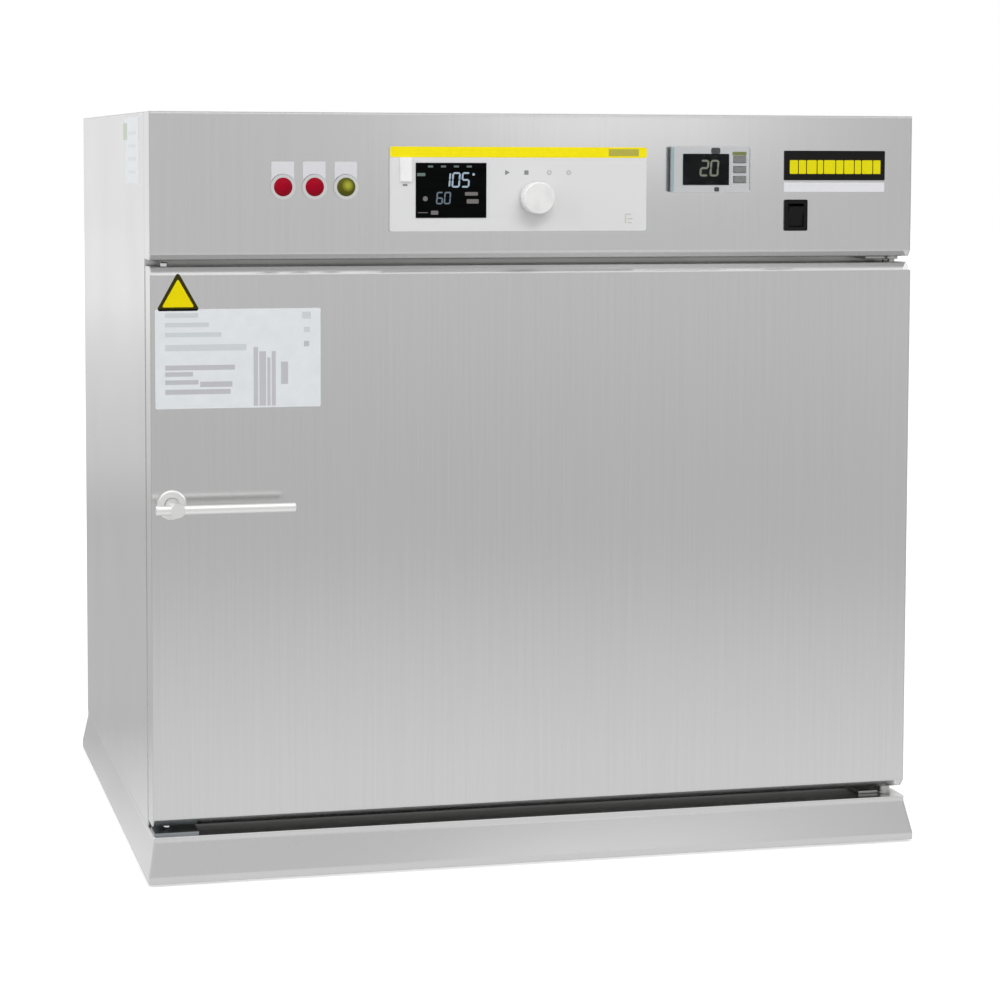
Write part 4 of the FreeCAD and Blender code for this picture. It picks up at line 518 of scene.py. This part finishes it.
def stripe_film(name):
    """Yellow printed stripe under a satin varnish."""
    stripe = list(colours().stripe)
    material, tree, shader, place = start_material(name, stripe, 0.4)
    shader.inputs["Specular IOR Level"].default_value = 0.1
    mottle = grain(tree, place, 4 * MM)
    two_tones(tree, shader, mottle, shade(stripe, 0.97), shade(stripe, 1.02))
    return material


def lit_bars(name, code, strength):
    """Lit liquid-crystal bars: pale, even, with a weak glow of their own."""
    material = bpy.data.materials.get(name)
    if material:
        return material
    colour = linear(code)
    material, tree, shader, place = start_material(name, colour, 0.5)
    glow = grain(tree, place, 3 * MM)
    shade_of_glow = tint(tree, glow, shade(colour, 0.85), shade(colour, 1.1))
    tree.links.new(shade_of_glow, shader.inputs["Emission Color"])
    shader.inputs["Emission Strength"].default_value = strength
    return material


# Piece helpers


def dress(material, *nodes):
    """Gives CAD nodes their finish."""
    for name in nodes:
        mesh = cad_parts[name].data
        mesh.materials.clear()
        mesh.materials.append(material)


def slab(mesh, face, place, outline, low, high):
    """Adds a flat slab: an outline on a face, from low to high above it."""
    right, up, out = face
    rings = []
    for height in (low, high):
        ring = []
        for u, v in outline:
            ring.append(mesh.verts.new(place + right * u + up * v + out * height))
        rings.append(ring)
    mesh.faces.new(list(reversed(rings[0])))
    mesh.faces.new(rings[1])
    count = len(outline)
    for i in range(count):
        j = (i + 1) % count
        mesh.faces.new([rings[0][i], rings[0][j], rings[1][j], rings[1][i]])


def rectangle(u0, u1, v0, v1):
    return [(u0, v0), (u1, v0), (u1, v1), (u0, v1)]


def rounded(u0, u1, v0, v1, radius, steps=5):
    """A rectangle with round corners."""
    corners = [(u1 - radius, v1 - radius, 0), (u0 + radius, v1 - radius, 90),
               (u0 + radius, v0 + radius, 180), (u1 - radius, v0 + radius, 270)]
    points = []
    for u, v, start in corners:
        for i in range(steps + 1):
            turn = math.radians(start + 90 * i / steps)
            points.append((u + radius * math.cos(turn), v + radius * math.sin(turn)))
    return points


def disc(u, v, radius, steps=28):
    points = []
    for i in range(steps):
        turn = 2 * math.pi * i / steps
        points.append((u + radius * math.cos(turn), v + radius * math.sin(turn)))
    return points


def rounded_triangle(u, v, width, height, radius, steps=5):
    """An upright triangle with round corners; u, v is the middle of its base."""
    corners = [Vector((u - width / 2, v)), Vector((u + width / 2, v)), Vector((u, v + height))]
    points = []
    for i, corner in enumerate(corners):
        before = (corners[i - 1] - corner).normalized()
        after = (corners[(i + 1) % 3] - corner).normalized()
        half = before.angle(after) / 2
        centre = corner + (before + after).normalized() * radius / math.sin(half)
        first = corner + before * radius / math.tan(half) - centre
        last = corner + after * radius / math.tan(half) - centre
        for j in range(steps + 1):
            mix = first.lerp(last, j / steps).normalized() * radius
            points.append(tuple(centre + mix))
    return points


def bar_outline(start, end, width):
    """A bar with pointed ends, as a lit display has."""
    start = Vector(start)
    end = Vector(end)
    along = (end - start).normalized() * width / 2
    across = Vector((-along.y, along.x))
    points = [start, start + along - across, end - along - across, end,
              end - along + across, start + along + across]
    return [tuple(p) for p in points]


def number_outlines(text, u, v, height, lean=0.08):
    """The lit bars of a number whose lower left corner is at u, v."""
    wide = height * 0.5
    bar = height * 0.13
    step = height * 0.72
    outlines = []
    for i, sign in enumerate(text):
        corners = {}
        for row, level in enumerate((0, height / 2, height)):
            left = u + i * step + level * lean
            corners[row] = ((left, v + level), (left + wide, v + level))
        ends = {
            "a": (corners[2][0], corners[2][1]), "g": (corners[1][0], corners[1][1]),
            "d": (corners[0][0], corners[0][1]), "f": (corners[1][0], corners[2][0]),
            "b": (corners[1][1], corners[2][1]), "e": (corners[0][0], corners[1][0]),
            "c": (corners[0][1], corners[1][1]),
        }
        for name in LIT_BARS[sign]:
            outlines.append(bar_outline(ends[name][0], ends[name][1], bar))
    return outlines


def piece(name, mesh, material, body="root", edge=0.0):
    """Turns a built mesh into a piece that rides on a CAD body."""
    bmesh.ops.recalc_face_normals(mesh, faces=mesh.faces)
    data = bpy.data.meshes.new(name)
    mesh.to_mesh(data)
    mesh.free()
    made = bpy.data.objects.new(name, data)
    bpy.context.scene.collection.objects.link(made)
    data.materials.append(material)
    if edge:
        bevel = made.modifiers.new("edge", "BEVEL")
        bevel.width = edge
        bevel.segments = 2
        bevel.limit_method = "ANGLE"
    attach(made, body)
    return made


def flat_piece(name, face, place, outlines, thick, material, body="root", low=0.0,
               edge=0.0):
    """A piece of one or more flat outlines of the same thickness."""
    mesh = bmesh.new()
    for outline in outlines:
        slab(mesh, face, place, outline, low, low + thick)
    return piece(name, mesh, material, body, edge)


def front_corner(node):
    """The upper left corner of a node's front face, where prints are measured from."""
    low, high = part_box(node)
    return Vector((low.x, low.y, high.z))


def film():
    return bpy.context.scene.oven_prints.film


class OVEN_OT_cabinet(bpy.types.Operator):
    """Dresses the cabinet's sheets, the plinth and its pads"""
    bl_idname = "oven.cabinet"
    bl_label = "Cabinet and plinth"

    def execute(self, context):
        dress(finish(ground_stainless), "side_panel_left", "side_panel_right", "top_cover",
              "control_fascia", "base_plinth")
        dress(finish(galvanised_sheet), "rear_panel", "inner_back_wall", "control_tray")
        dress(finish(rolled_stainless), "front_frame")
        dress(finish(moulded_rubber), "rubber_feet")
        dress(finish(polished_bar), "rear_screws")
        return {"FINISHED"}


class OVEN_OT_chamber(bpy.types.Operator):
    """Dresses the chamber, its shelves, the air circulation and the insulation"""
    bl_idname = "oven.chamber"
    bl_label = "Chamber"

    def execute(self, context):
        dress(finish(rolled_stainless), "chamber_liner", "rear_baffle", "shelf_rack_left",
              "shelf_rack_right")
        dress(finish(drawn_wire), "shelf_lower", "shelf_upper", "temperature_probes", "fan_shaft")
        dress(finish(pressed_steel), "fan_wheel")
        dress(finish(heat_tinted_tube), "ring_heater")
        dress(finish(cast_aluminium), "fan_motor", "power_module")
        dress(finish(mineral_wool), "insulation_jacket")
        dress(finish(silicone_seal), "door_gasket")
        return {"FINISHED"}


class OVEN_OT_rear(bpy.types.Operator):
    """Dresses the exhaust, the fresh air inlet and the cable gland"""
    bl_idname = "oven.rear"
    bl_label = "Rear fittings"

    def execute(self, context):
        dress(finish(pressed_steel), "exhaust_duct", "damper_flap", "air_inlet")
        dress(finish(black_nylon), "mains_gland")
        return {"FINISHED"}


class OVEN_OT_door(bpy.types.Operator):
    """Dresses the door, its hinges and its lock"""
    bl_idname = "oven.door"
    bl_label = "Door and lock"

    def execute(self, context):
        dress(finish(ground_stainless), "door_shell")
        dress(finish(rolled_stainless), "door_liner", "hinge_bracket_upper", "hinge_bracket_lower")
        dress(finish(mineral_wool), "door_insulation")
        dress(finish(galvanised_sheet), "lock_case", "hinge_bushes", "rod_keepers")
        dress(finish(satin_bar), "handle_lever", "rosette")
        dress(finish(polished_bar), "lock_pinion", "upper_rod", "lower_rod")
        return {"FINISHED"}


def legend_outline(half, top, gap, steps=12):
    """A plate whose lower edge is cut out round a lamp, gap away from the lamp's middle."""
    outline = [(-half, top), (half, top)]
    last = math.acos(half / gap)
    for i in range(steps + 1):
        turn = last + (math.pi - 2 * last) * i / steps
        outline.append((gap * math.cos(turn), gap * math.sin(turn)))
    return list(reversed(outline))


def lamp_legends():
    """The small blank plates over the three signal lamps."""
    low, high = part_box("lamp_bezels")
    radius = (high.z - low.z) / 2
    pitch = (high.x - low.x - 2 * radius) / 2
    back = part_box("control_fascia")[0].y
    middle = Vector((low.x + radius, back, (low.z + high.z) / 2))
    half = 12.8 * MM
    top = 28.2 * MM
    thick = 0.8 * MM
    outline = legend_outline(half, top, radius + 0.5 * MM)
    plate = printed("anodised_legend", "#dedee2", 0.35)
    for i in range(3):
        place = middle + Vector((i * pitch, 0, 0))
        flat_piece("lamp_legend_%d" % (i + 1), FRONT_FACE, place, [outline], thick, plate,
                   edge=thick / 4)


class OVEN_OT_lamps(bpy.types.Operator):
    """Dresses the signal lamps and adds the legend plate above each"""
    bl_idname = "oven.lamps"
    bl_label = "Signal lamps"

    def execute(self, context):
        dress(finish(red_lens), "lamp_lenses_red")
        dress(finish(olive_lens), "lamp_lens_yellow")
        dress(finish(polished_bar), "lamp_bezels")
        lamp_legends()
        return {"FINISHED"}


def controller_stripe(corner, width):
    """The printed stripe along the top, with its plain khaki field."""
    prints = bpy.context.scene.oven_prints
    tall = prints.stripe_height
    outline = rounded(0, width, -tall, 0, 2.3 * MM)
    flat_piece("controller_stripe", FRONT_FACE, corner, [outline], film(), finish(stripe_film))
    field = rectangle(256 * MM, 292 * MM, -10 * MM, -2 * MM)
    flat_piece("stripe_field", FRONT_FACE, corner, [field], film(), printed("khaki_ink", "#b8b250"),
               low=film())


def controller_icons(corner):
    """Small plain marks beside the knob and the port."""
    row = -29 * MM
    dark = [
        [(133.5 * MM, row - 3 * MM), (139 * MM, row), (133.5 * MM, row + 3 * MM)],
        rounded(156 * MM, 161 * MM, row - 2.5 * MM, row + 2.5 * MM, 0.6 * MM),
        rounded(14.5 * MM, 20 * MM, -44.5 * MM, -42 * MM, 0.8 * MM),
    ]
    flat_piece("dark_icons", FRONT_FACE, corner, dark, film(), printed("grey_ink", "#8f8f90"))
    pale = [disc(185.5 * MM, row, 2.8 * MM), disc(208.5 * MM, row, 2.8 * MM)]
    flat_piece("pale_icons", FRONT_FACE, corner, pale, film(), printed("pale_grey_ink", "#bdbdbe"))
    hearts = [disc(185.5 * MM, row, 1.7 * MM), disc(208.5 * MM, row, 1.7 * MM)]
    flat_piece("icon_hearts", FRONT_FACE, corner, hearts, film(), printed("plate_ink", "#d8d8d9"),
               low=film())
    page = [
        rectangle(276 * MM, 277.2 * MM, -87 * MM, -76 * MM),
        rectangle(277.2 * MM, 283 * MM, -77.2 * MM, -76 * MM),
        rectangle(279 * MM, 285 * MM, -82.5 * MM, -81.3 * MM),
        rectangle(279 * MM, 284 * MM, -87 * MM, -85.8 * MM),
    ]
    flat_piece("corner_mark", FRONT_FACE, corner, page, film(), printed("straw_ink", "#c9c8b8"))


def display_reading():
    """The lit numbers and small marks of the display."""
    prints = bpy.context.scene.oven_prints
    corner = front_corner("display_window")
    large = number_outlines(prints.reading, 31 * MM, -27 * MM, 15.5 * MM)
    large.append(disc(67 * MM, -13 * MM, 1.5 * MM))
    small = number_outlines(prints.set_point, 24 * MM, -46 * MM, 12.5 * MM)
    flat_piece("display_reading", FRONT_FACE, corner, large, LIT_THICK,
               lit_bars("lit_blue_grey", "#93a4b2", 0.25))
    flat_piece("display_set_point", FRONT_FACE, corner, small, LIT_THICK,
               lit_bars("lit_slate", "#5f6d78", 0.15))
    marks = [
        rounded(57 * MM, 72 * MM, -37 * MM, -33 * MM, 1 * MM),
        rounded(59 * MM, 73 * MM, -46 * MM, -41 * MM, 1 * MM),
        rounded(17.5 * MM, 26 * MM, -58.5 * MM, -54 * MM, 0.8 * MM),
        rounded(2.5 * MM, 14 * MM, -56.6 * MM, -55.8 * MM, 0.3 * MM),
        disc(11 * MM, -40.5 * MM, 2.8 * MM),
    ]
    flat_piece("display_marks", FRONT_FACE, corner, marks, LIT_THICK,
               lit_bars("lit_warm_grey", "#6b6666", 0.15))
    row = [rounded(1.5 * MM, 11 * MM, -15 * MM, -11.5 * MM, 0.8 * MM)]
    for i in range(4):
        left = (14 + 15 * i) * MM
        row.append(rounded(left, left + 6 * MM, -5.2 * MM, -3 * MM, 0.6 * MM))
    flat_piece("display_row", FRONT_FACE, corner, row, LIT_THICK,
               lit_bars("lit_green_grey", "#5c6a66", 0.15))


class OVEN_OT_controller(bpy.types.Operator):
    """Dresses the controller and adds its stripe, marks and lit display"""
    bl_idname = "oven.controller"
    bl_label = "Controller"

    def execute(self, context):
        dress(finish(textured_abs), "controller_panel")
        dress(finish(black_nylon), "controller_housing")
        dress(finish(satin_polycarbonate), "dial_knob")
        dress(finish(white_polypropylene), "usb_cover")
        dress(finish(drawn_wire), "encoder_shaft")
        dress(finish(acrylic_screen), "display_window")
        low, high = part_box("controller_panel")
        corner = front_corner("controller_panel")
        controller_stripe(corner, high.x - low.x)
        controller_icons(corner)
        display_reading()
        return {"FINISHED"}


def limiter_prints():
    """The limiter's lit number, its signal strip and its two dark catches."""
    screen = front_corner("limiter_window")
    limit = bpy.context.scene.oven_prints.limit
    number = number_outlines(limit, 21 * MM, -25 * MM, 17 * MM)
    flat_piece("limiter_reading", FRONT_FACE, screen, number, LIT_THICK,
               lit_bars("lit_olive_grey", "#77786a", 0.15))
    case = front_corner("limiter_case")
    strip = rounded(74 * MM, 91 * MM, -10.3 * MM, -6.1 * MM, 0.8 * MM)
    flat_piece("limiter_signal", FRONT_FACE, case, [strip], TRIM_THICK,
               printed("olive_print", "#7c8352"))
    catches = [rounded(48 * MM, 59 * MM, -8.5 * MM, -1.5 * MM, 2 * MM),
               rounded(52 * MM, 58 * MM, -52 * MM, -47 * MM, 1.5 * MM)]
    flat_piece("limiter_catches", FRONT_FACE, case, catches, TRIM_THICK,
               printed("black_catch", "#4a4b4c"))


def lid_trim():
    """The tinted strip along the clear lid's hinge."""
    low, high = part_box("limiter_cover")
    edge = rounded(1.5 * MM, 4.5 * MM, low.z - high.z + 1 * MM, -1 * MM, 0.8 * MM)
    flat_piece("lid_hinge_strip", FRONT_FACE, front_corner("limiter_cover"), [edge], TRIM_THICK,
               printed("teal_edge", "#9fb3b8", 0.25), "limiter_cover")


class OVEN_OT_limiter(bpy.types.Operator):
    """Dresses the temperature limiter and adds its reading, catches and the lid's trim"""
    bl_idname = "oven.limiter"
    bl_label = "Temperature limiter"

    def execute(self, context):
        dress(finish(grey_housing), "limiter_case")
        dress(finish(acrylic_screen), "limiter_window")
        dress(finish(grey_keys), "limiter_key_1", "limiter_key_2", "limiter_key_3")
        dress(finish(clear_polycarbonate), "limiter_cover")
        limiter_prints()
        lid_trim()
        return {"FINISHED"}


class OVEN_OT_switch(bpy.types.Operator):
    """Dresses the main switch"""
    bl_idname = "oven.switch"
    bl_label = "Main switch"

    def execute(self, context):
        dress(finish(black_nylon), "switch_bezel", "rocker")
        return {"FINISHED"}


def badge_blocks():
    """The plain row of yellow blocks on the badge plate."""
    widths = (10, 9, 12, 7, 14, 9, 12, 8, 13, 9)
    gap = 1.1
    left = 6.5
    blocks = []
    for wide in widths:
        blocks.append(rounded(left * MM, (left + wide) * MM, -27 * MM, -11 * MM, 1 * MM))
        left += wide + gap
    flat_piece("badge_blocks", FRONT_FACE, front_corner("badge_plate"), blocks, film(),
               printed("badge_yellow", "#e9de12"))


def badge_strip():
    """The pale strip on the fascia under the badge plate."""
    low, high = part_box("badge_plate")
    place = Vector((low.x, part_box("control_fascia")[0].y, low.z))
    strip = rounded(0, high.x - low.x, -13.5 * MM, -2.5 * MM, 1 * MM)
    flat_piece("badge_strip", FRONT_FACE, place, [strip], TRIM_THICK,
               printed("pale_strip", "#e8e8ec", 0.4))


class OVEN_OT_badge(bpy.types.Operator):
    """Dresses the badge plate with a plain row of blocks and adds the pale strip below it"""
    bl_idname = "oven.badge"
    bl_label = "Badge plate"

    def execute(self, context):
        dress(finish(black_nylon), "badge_plate")
        badge_blocks()
        badge_strip()
        return {"FINISHED"}


def door_label(place):
    """The white label on the door: a film with rows of plain grey bars."""
    width = 186 * MM
    height = 111 * MM
    outline = rounded(0, width, -height, 0, 2 * MM)
    flat_piece("door_label", FRONT_FACE, place, [outline], film(), finish(vinyl_film), "door")
    # Left, right, top and bottom of each bar, in millimetres from the label's upper left corner
    faint = [(11, 48, 4.5, 9.5), (11, 60, 15, 20), (11, 74, 26, 31), (11, 102, 39.5, 46.5),
             (165, 175, 4, 12), (167, 174, 21, 27)]
    plain = [(11, 89, 62.5, 68), (11, 42, 70, 75), (11, 48, 79, 84), (50, 86, 81, 87),
             (11, 84, 89.5, 95), (141, 149, 60, 85), (167, 173, 37, 43)]
    column = [(110, 115, 43, 109), (116.5, 124, 48, 109), (125.5, 129, 55, 109), (130.5, 135, 48, 109)]
    for name, code, bars in (("faint", "#d1d6d8", faint), ("plain", "#c3c3c8", plain),
                             ("column", "#c6c5ca", column)):
        outlines = []
        for left, right, top, bottom in bars:
            outlines.append(rectangle(left * MM, right * MM, -bottom * MM, -top * MM))
        flat_piece("label_bars_" + name, FRONT_FACE, place, outlines, film() / 2,
                   printed("label_ink_" + name, code), "door", low=film())


def yellow_triangle(place):
    """A plain yellow triangle with a dark border."""
    border = rounded_triangle(0, 0, 49 * MM, 44 * MM, 2.5 * MM)
    flat_piece("triangle_border", FRONT_FACE, place, [border], film(),
               printed("olive_black", "#37330c"), "door")
    field = rounded_triangle(0, 4.2 * MM, 36 * MM, 31.5 * MM, 1.2 * MM)
    flat_piece("triangle_field", FRONT_FACE, place, [field], film() / 2,
               printed("triangle_yellow", "#eedb02"), "door", low=film())


def side_labels():
    """The two labels near the top of the left side."""
    low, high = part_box("side_panel_left")
    place = Vector((low.x, low.y, high.z))
    sheet = rounded(-179 * MM, -46 * MM, -80 * MM, -4 * MM, 2 * MM)
    flat_piece("side_label", LEFT_FACE, place, [sheet], film(), printed("side_film", "#e6eaed", 0.35))
    bars = []
    for i in range(4):
        top = (-20 - 15 * i) * MM
        right = (-70 - 9 * (i % 2)) * MM
        bars.append(rectangle(-150 * MM, right, top - 4 * MM, top))
    flat_piece("side_label_bars", LEFT_FACE, place, bars, film() / 2,
               printed("side_ink", "#e0e3e6"), low=film())
    field = rounded(-200 * MM, -160 * MM, -30 * MM, -10 * MM, 2 * MM)
    flat_piece("side_label_field", LEFT_FACE, place, [field], film() / 2,
               printed("grey_green_ink", "#c9d0c4"), low=film())


class OVEN_OT_labels(bpy.types.Operator):
    """Adds the plain labels on the door and on the left side"""
    bl_idname = "oven.labels"
    bl_label = "Labels"

    def execute(self, context):
        low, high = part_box("door_shell")
        door_label(Vector((low.x + 5.3 * MM, low.y, high.z - 47 * MM)))
        yellow_triangle(Vector((low.x + 31 * MM, low.y, high.z - 49 * MM)))
        side_labels()
        return {"FINISHED"}


# Studio


def studio_sky():
    """Even light for surfaces, white for the camera, and a horizon that metal reflects."""
    studio = bpy.context.scene.oven_studio
    world = bpy.data.worlds.new("studio")
    bpy.context.scene.world = world
    world.use_nodes = True
    tree = world.node_tree
    tree.nodes.clear()
    paths = put(tree, "LightPath")
    shown = put(tree, "Math", {"operation": "MAXIMUM"},
                {0: paths.outputs["Is Camera Ray"], 1: paths.outputs["Is Transmission Ray"]})
    direction = put(tree, "SeparateXYZ", feeds={"Vector": put(tree, "TexCoord").outputs["Generated"]})
    # Metal mirrors a sky that is paler to the back, to the left and high up
    horizon = ramp(tree, direction.outputs["Y"], -0.2, 0.6, 0.67, 0.9)
    horizon = add(tree, horizon, ramp(tree, direction.outputs["X"], 0.1, 0.36, 0.055, -0.035))
    mirrored = add(tree, horizon, ramp(tree, direction.outputs["Z"], 0.48, 0.82, 0.0, 0.62))
    level = put(tree, "Mix", feeds={0: paths.outputs["Is Glossy Ray"], 2: studio.sky, 3: mirrored})
    level = put(tree, "Mix", feeds={0: shown.outputs[0], 2: level.outputs[0], 3: 1.0})
    sky = put(tree, "Background", feeds={"Color": (1, 1, 1, 1), "Strength": level.outputs[0]})
    put(tree, "OutputWorld", feeds={"Surface": sky.outputs[0]})


def studio_floor():
    """A wide pale floor that shows white with the object's shadow."""
    studio = bpy.context.scene.oven_studio
    mesh = bmesh.new()
    half_width = 25
    bmesh.ops.create_grid(mesh, x_segments=1, y_segments=1, size=half_width)
    data = bpy.data.meshes.new("studio_floor")
    mesh.to_mesh(data)
    mesh.free()
    floor = bpy.data.objects.new("studio_floor", data)
    bpy.context.scene.collection.objects.link(floor)
    material = bpy.data.materials.new("painted_studio_floor")
    material.use_nodes = True
    tree = material.node_tree
    tree.nodes.clear()
    paint = put(tree, "BsdfDiffuse", feeds={"Color": list(studio.floor)})
    paths = put(tree, "LightPath")
    place = put(tree, "NewGeometry").outputs["Position"]
    away = put(tree, "VectorMath", {"operation": "LENGTH"}, {0: place}).outputs["Value"]
    # Metal mirrors a floor that is palest close in front of the oven and darker behind it
    near = ramp(tree, away, 0.9, 2.9, 0.87, 0.64)
    far = ramp(tree, away, 4.0, 12.0, 0.0, 0.09)
    depth = put(tree, "SeparateXYZ", feeds={"Vector": place}).outputs["Y"]
    behind = add(tree, ramp(tree, depth, -0.2, 0.5, 0.0, -0.28), ramp(tree, depth, 0.6, 4.0, 0.0, 0.34))
    behind = add(tree, behind, ramp(tree, depth, 4.0, 12.0, 0.0, 0.2))
    mirrored = put(tree, "Emission", feeds={"Strength": add(tree, add(tree, near, far), behind)})
    # The camera sees the paint with a glow, which makes it white away from the oven's shadow
    white = ramp(tree, away, 1.5, 5.0, 0.62, 0.80)
    seen = put(tree, "Math", {"operation": "MULTIPLY"}, {0: paths.outputs["Is Camera Ray"], 1: white})
    glow = put(tree, "Emission", feeds={"Strength": seen.outputs[0]})
    plain = put(tree, "AddShader", feeds={0: paint.outputs[0], 1: glow.outputs[0]})
    feeds = {0: paths.outputs["Is Glossy Ray"], 1: plain.outputs[0], 2: mirrored.outputs[0]}
    both = put(tree, "MixShader", feeds=feeds)
    put(tree, "OutputMaterial", feeds={"Surface": both.outputs[0]})
    data.materials.append(material)


def soft_light(name, place, target, width, height, power, mirrored=True):
    """A soft box that faces its target; metal doesn't show it unless it is mirrored."""
    data = bpy.data.lights.new(name, "AREA")
    data.shape = "RECTANGLE"
    data.size = width
    data.size_y = height
    data.energy = power
    light = bpy.data.objects.new(name, data)
    bpy.context.scene.collection.objects.link(light)
    light.location = place
    light.rotation_euler = (Vector(target) - Vector(place)).to_track_quat("-Z", "Y").to_euler()
    light.visible_camera = False
    light.visible_glossy = mirrored


def studio_lights():
    """Soft boxes round the oven, and a weak one that is there for its mirror image in the metal."""
    studio = bpy.context.scene.oven_studio
    middle = (0, 0, 0.45)
    soft_light("key_light", (0.9, -4.0, 4.4), middle, 4.6, 1.6, studio.key, mirrored=False)
    soft_light("left_light", (-3.8, -1.2, 2.2), middle, 2.4, 2.4, studio.key * 0.45, mirrored=False)
    soft_light("right_light", (3.6, 0.2, 2.8), middle, 2.4, 2.4, studio.key * 0.3)
    soft_light("back_light", (-1.5, 3.6, 3.2), middle, 3.0, 3.0, studio.key * 0.4)
    soft_light("strip_light", (1.45, -5.0, 1.35), (1.45, 0, 1.35), 0.9, 1.1, 2.0)


def studio_camera():
    """The camera at the photograph's place, with its frame shifted down."""
    studio = bpy.context.scene.oven_studio
    data = bpy.data.cameras.new("camera")
    camera = bpy.data.objects.new("camera", data)
    bpy.context.scene.collection.objects.link(camera)
    data.sensor_width = 36
    data.lens = studio.lens
    data.shift_y = -studio.shift
    camera.location = studio.camera_place
    aim = Euler((math.pi / 2 - studio.camera_dip, 0, -studio.camera_turn)).to_matrix()
    camera.rotation_euler = (aim @ Matrix.Rotation(studio.camera_roll, 3, "Z")).to_euler()
    bpy.context.scene.camera = camera


class OVEN_OT_stage(bpy.types.Operator):
    """Sets the floor, the sky, the lights and the camera"""
    bl_idname = "oven.stage"
    bl_label = "Studio"

    def execute(self, context):
        context.scene.view_settings.view_transform = "Standard"
        studio_sky()
        studio_floor()
        studio_lights()
        studio_camera()
        return {"FINISHED"}


STEPS = [OVEN_OT_stage, OVEN_OT_cabinet, OVEN_OT_chamber, OVEN_OT_rear, OVEN_OT_door, OVEN_OT_lamps,
         OVEN_OT_controller, OVEN_OT_limiter, OVEN_OT_switch, OVEN_OT_badge, OVEN_OT_labels]


class OVEN_PT_panel(bpy.types.Panel):
    """Lists the oven's pieces and its studio"""
    bl_idname = "OVEN_PT_panel"
    bl_label = "Drying oven"
    bl_space_type = "VIEW_3D"
    bl_region_type = "UI"
    bl_category = "Oven"

    def draw(self, context):
        scene = context.scene
        for group in (scene.oven_colours, scene.oven_prints, scene.oven_studio):
            box = self.layout.box()
            for name in group.__annotations__:
                box.prop(group, name)
        for step in STEPS:
            self.layout.operator(step.bl_idname)


CLASSES = [OvenColours, OvenPrints, OvenStudio] + STEPS + [OVEN_PT_panel]


def register():
    for item in CLASSES:
        bpy.utils.register_class(item)
    bpy.types.Scene.oven_colours = PointerProperty(type=OvenColours)
    bpy.types.Scene.oven_prints = PointerProperty(type=OvenPrints)
    bpy.types.Scene.oven_studio = PointerProperty(type=OvenStudio)


def unregister():
    del bpy.types.Scene.oven_studio
    del bpy.types.Scene.oven_prints
    del bpy.types.Scene.oven_colours
    for item in reversed(CLASSES):
        bpy.utils.unregister_class(item)


def main():
    register()
    bpy.ops.oven.stage()
    bpy.ops.oven.cabinet()
    bpy.ops.oven.chamber()
    bpy.ops.oven.rear()
    bpy.ops.oven.door()
    bpy.ops.oven.lamps()
    bpy.ops.oven.controller()
    bpy.ops.oven.limiter()
    bpy.ops.oven.switch()
    bpy.ops.oven.badge()
    bpy.ops.oven.labels()


if __name__ == "__main__":
    main()
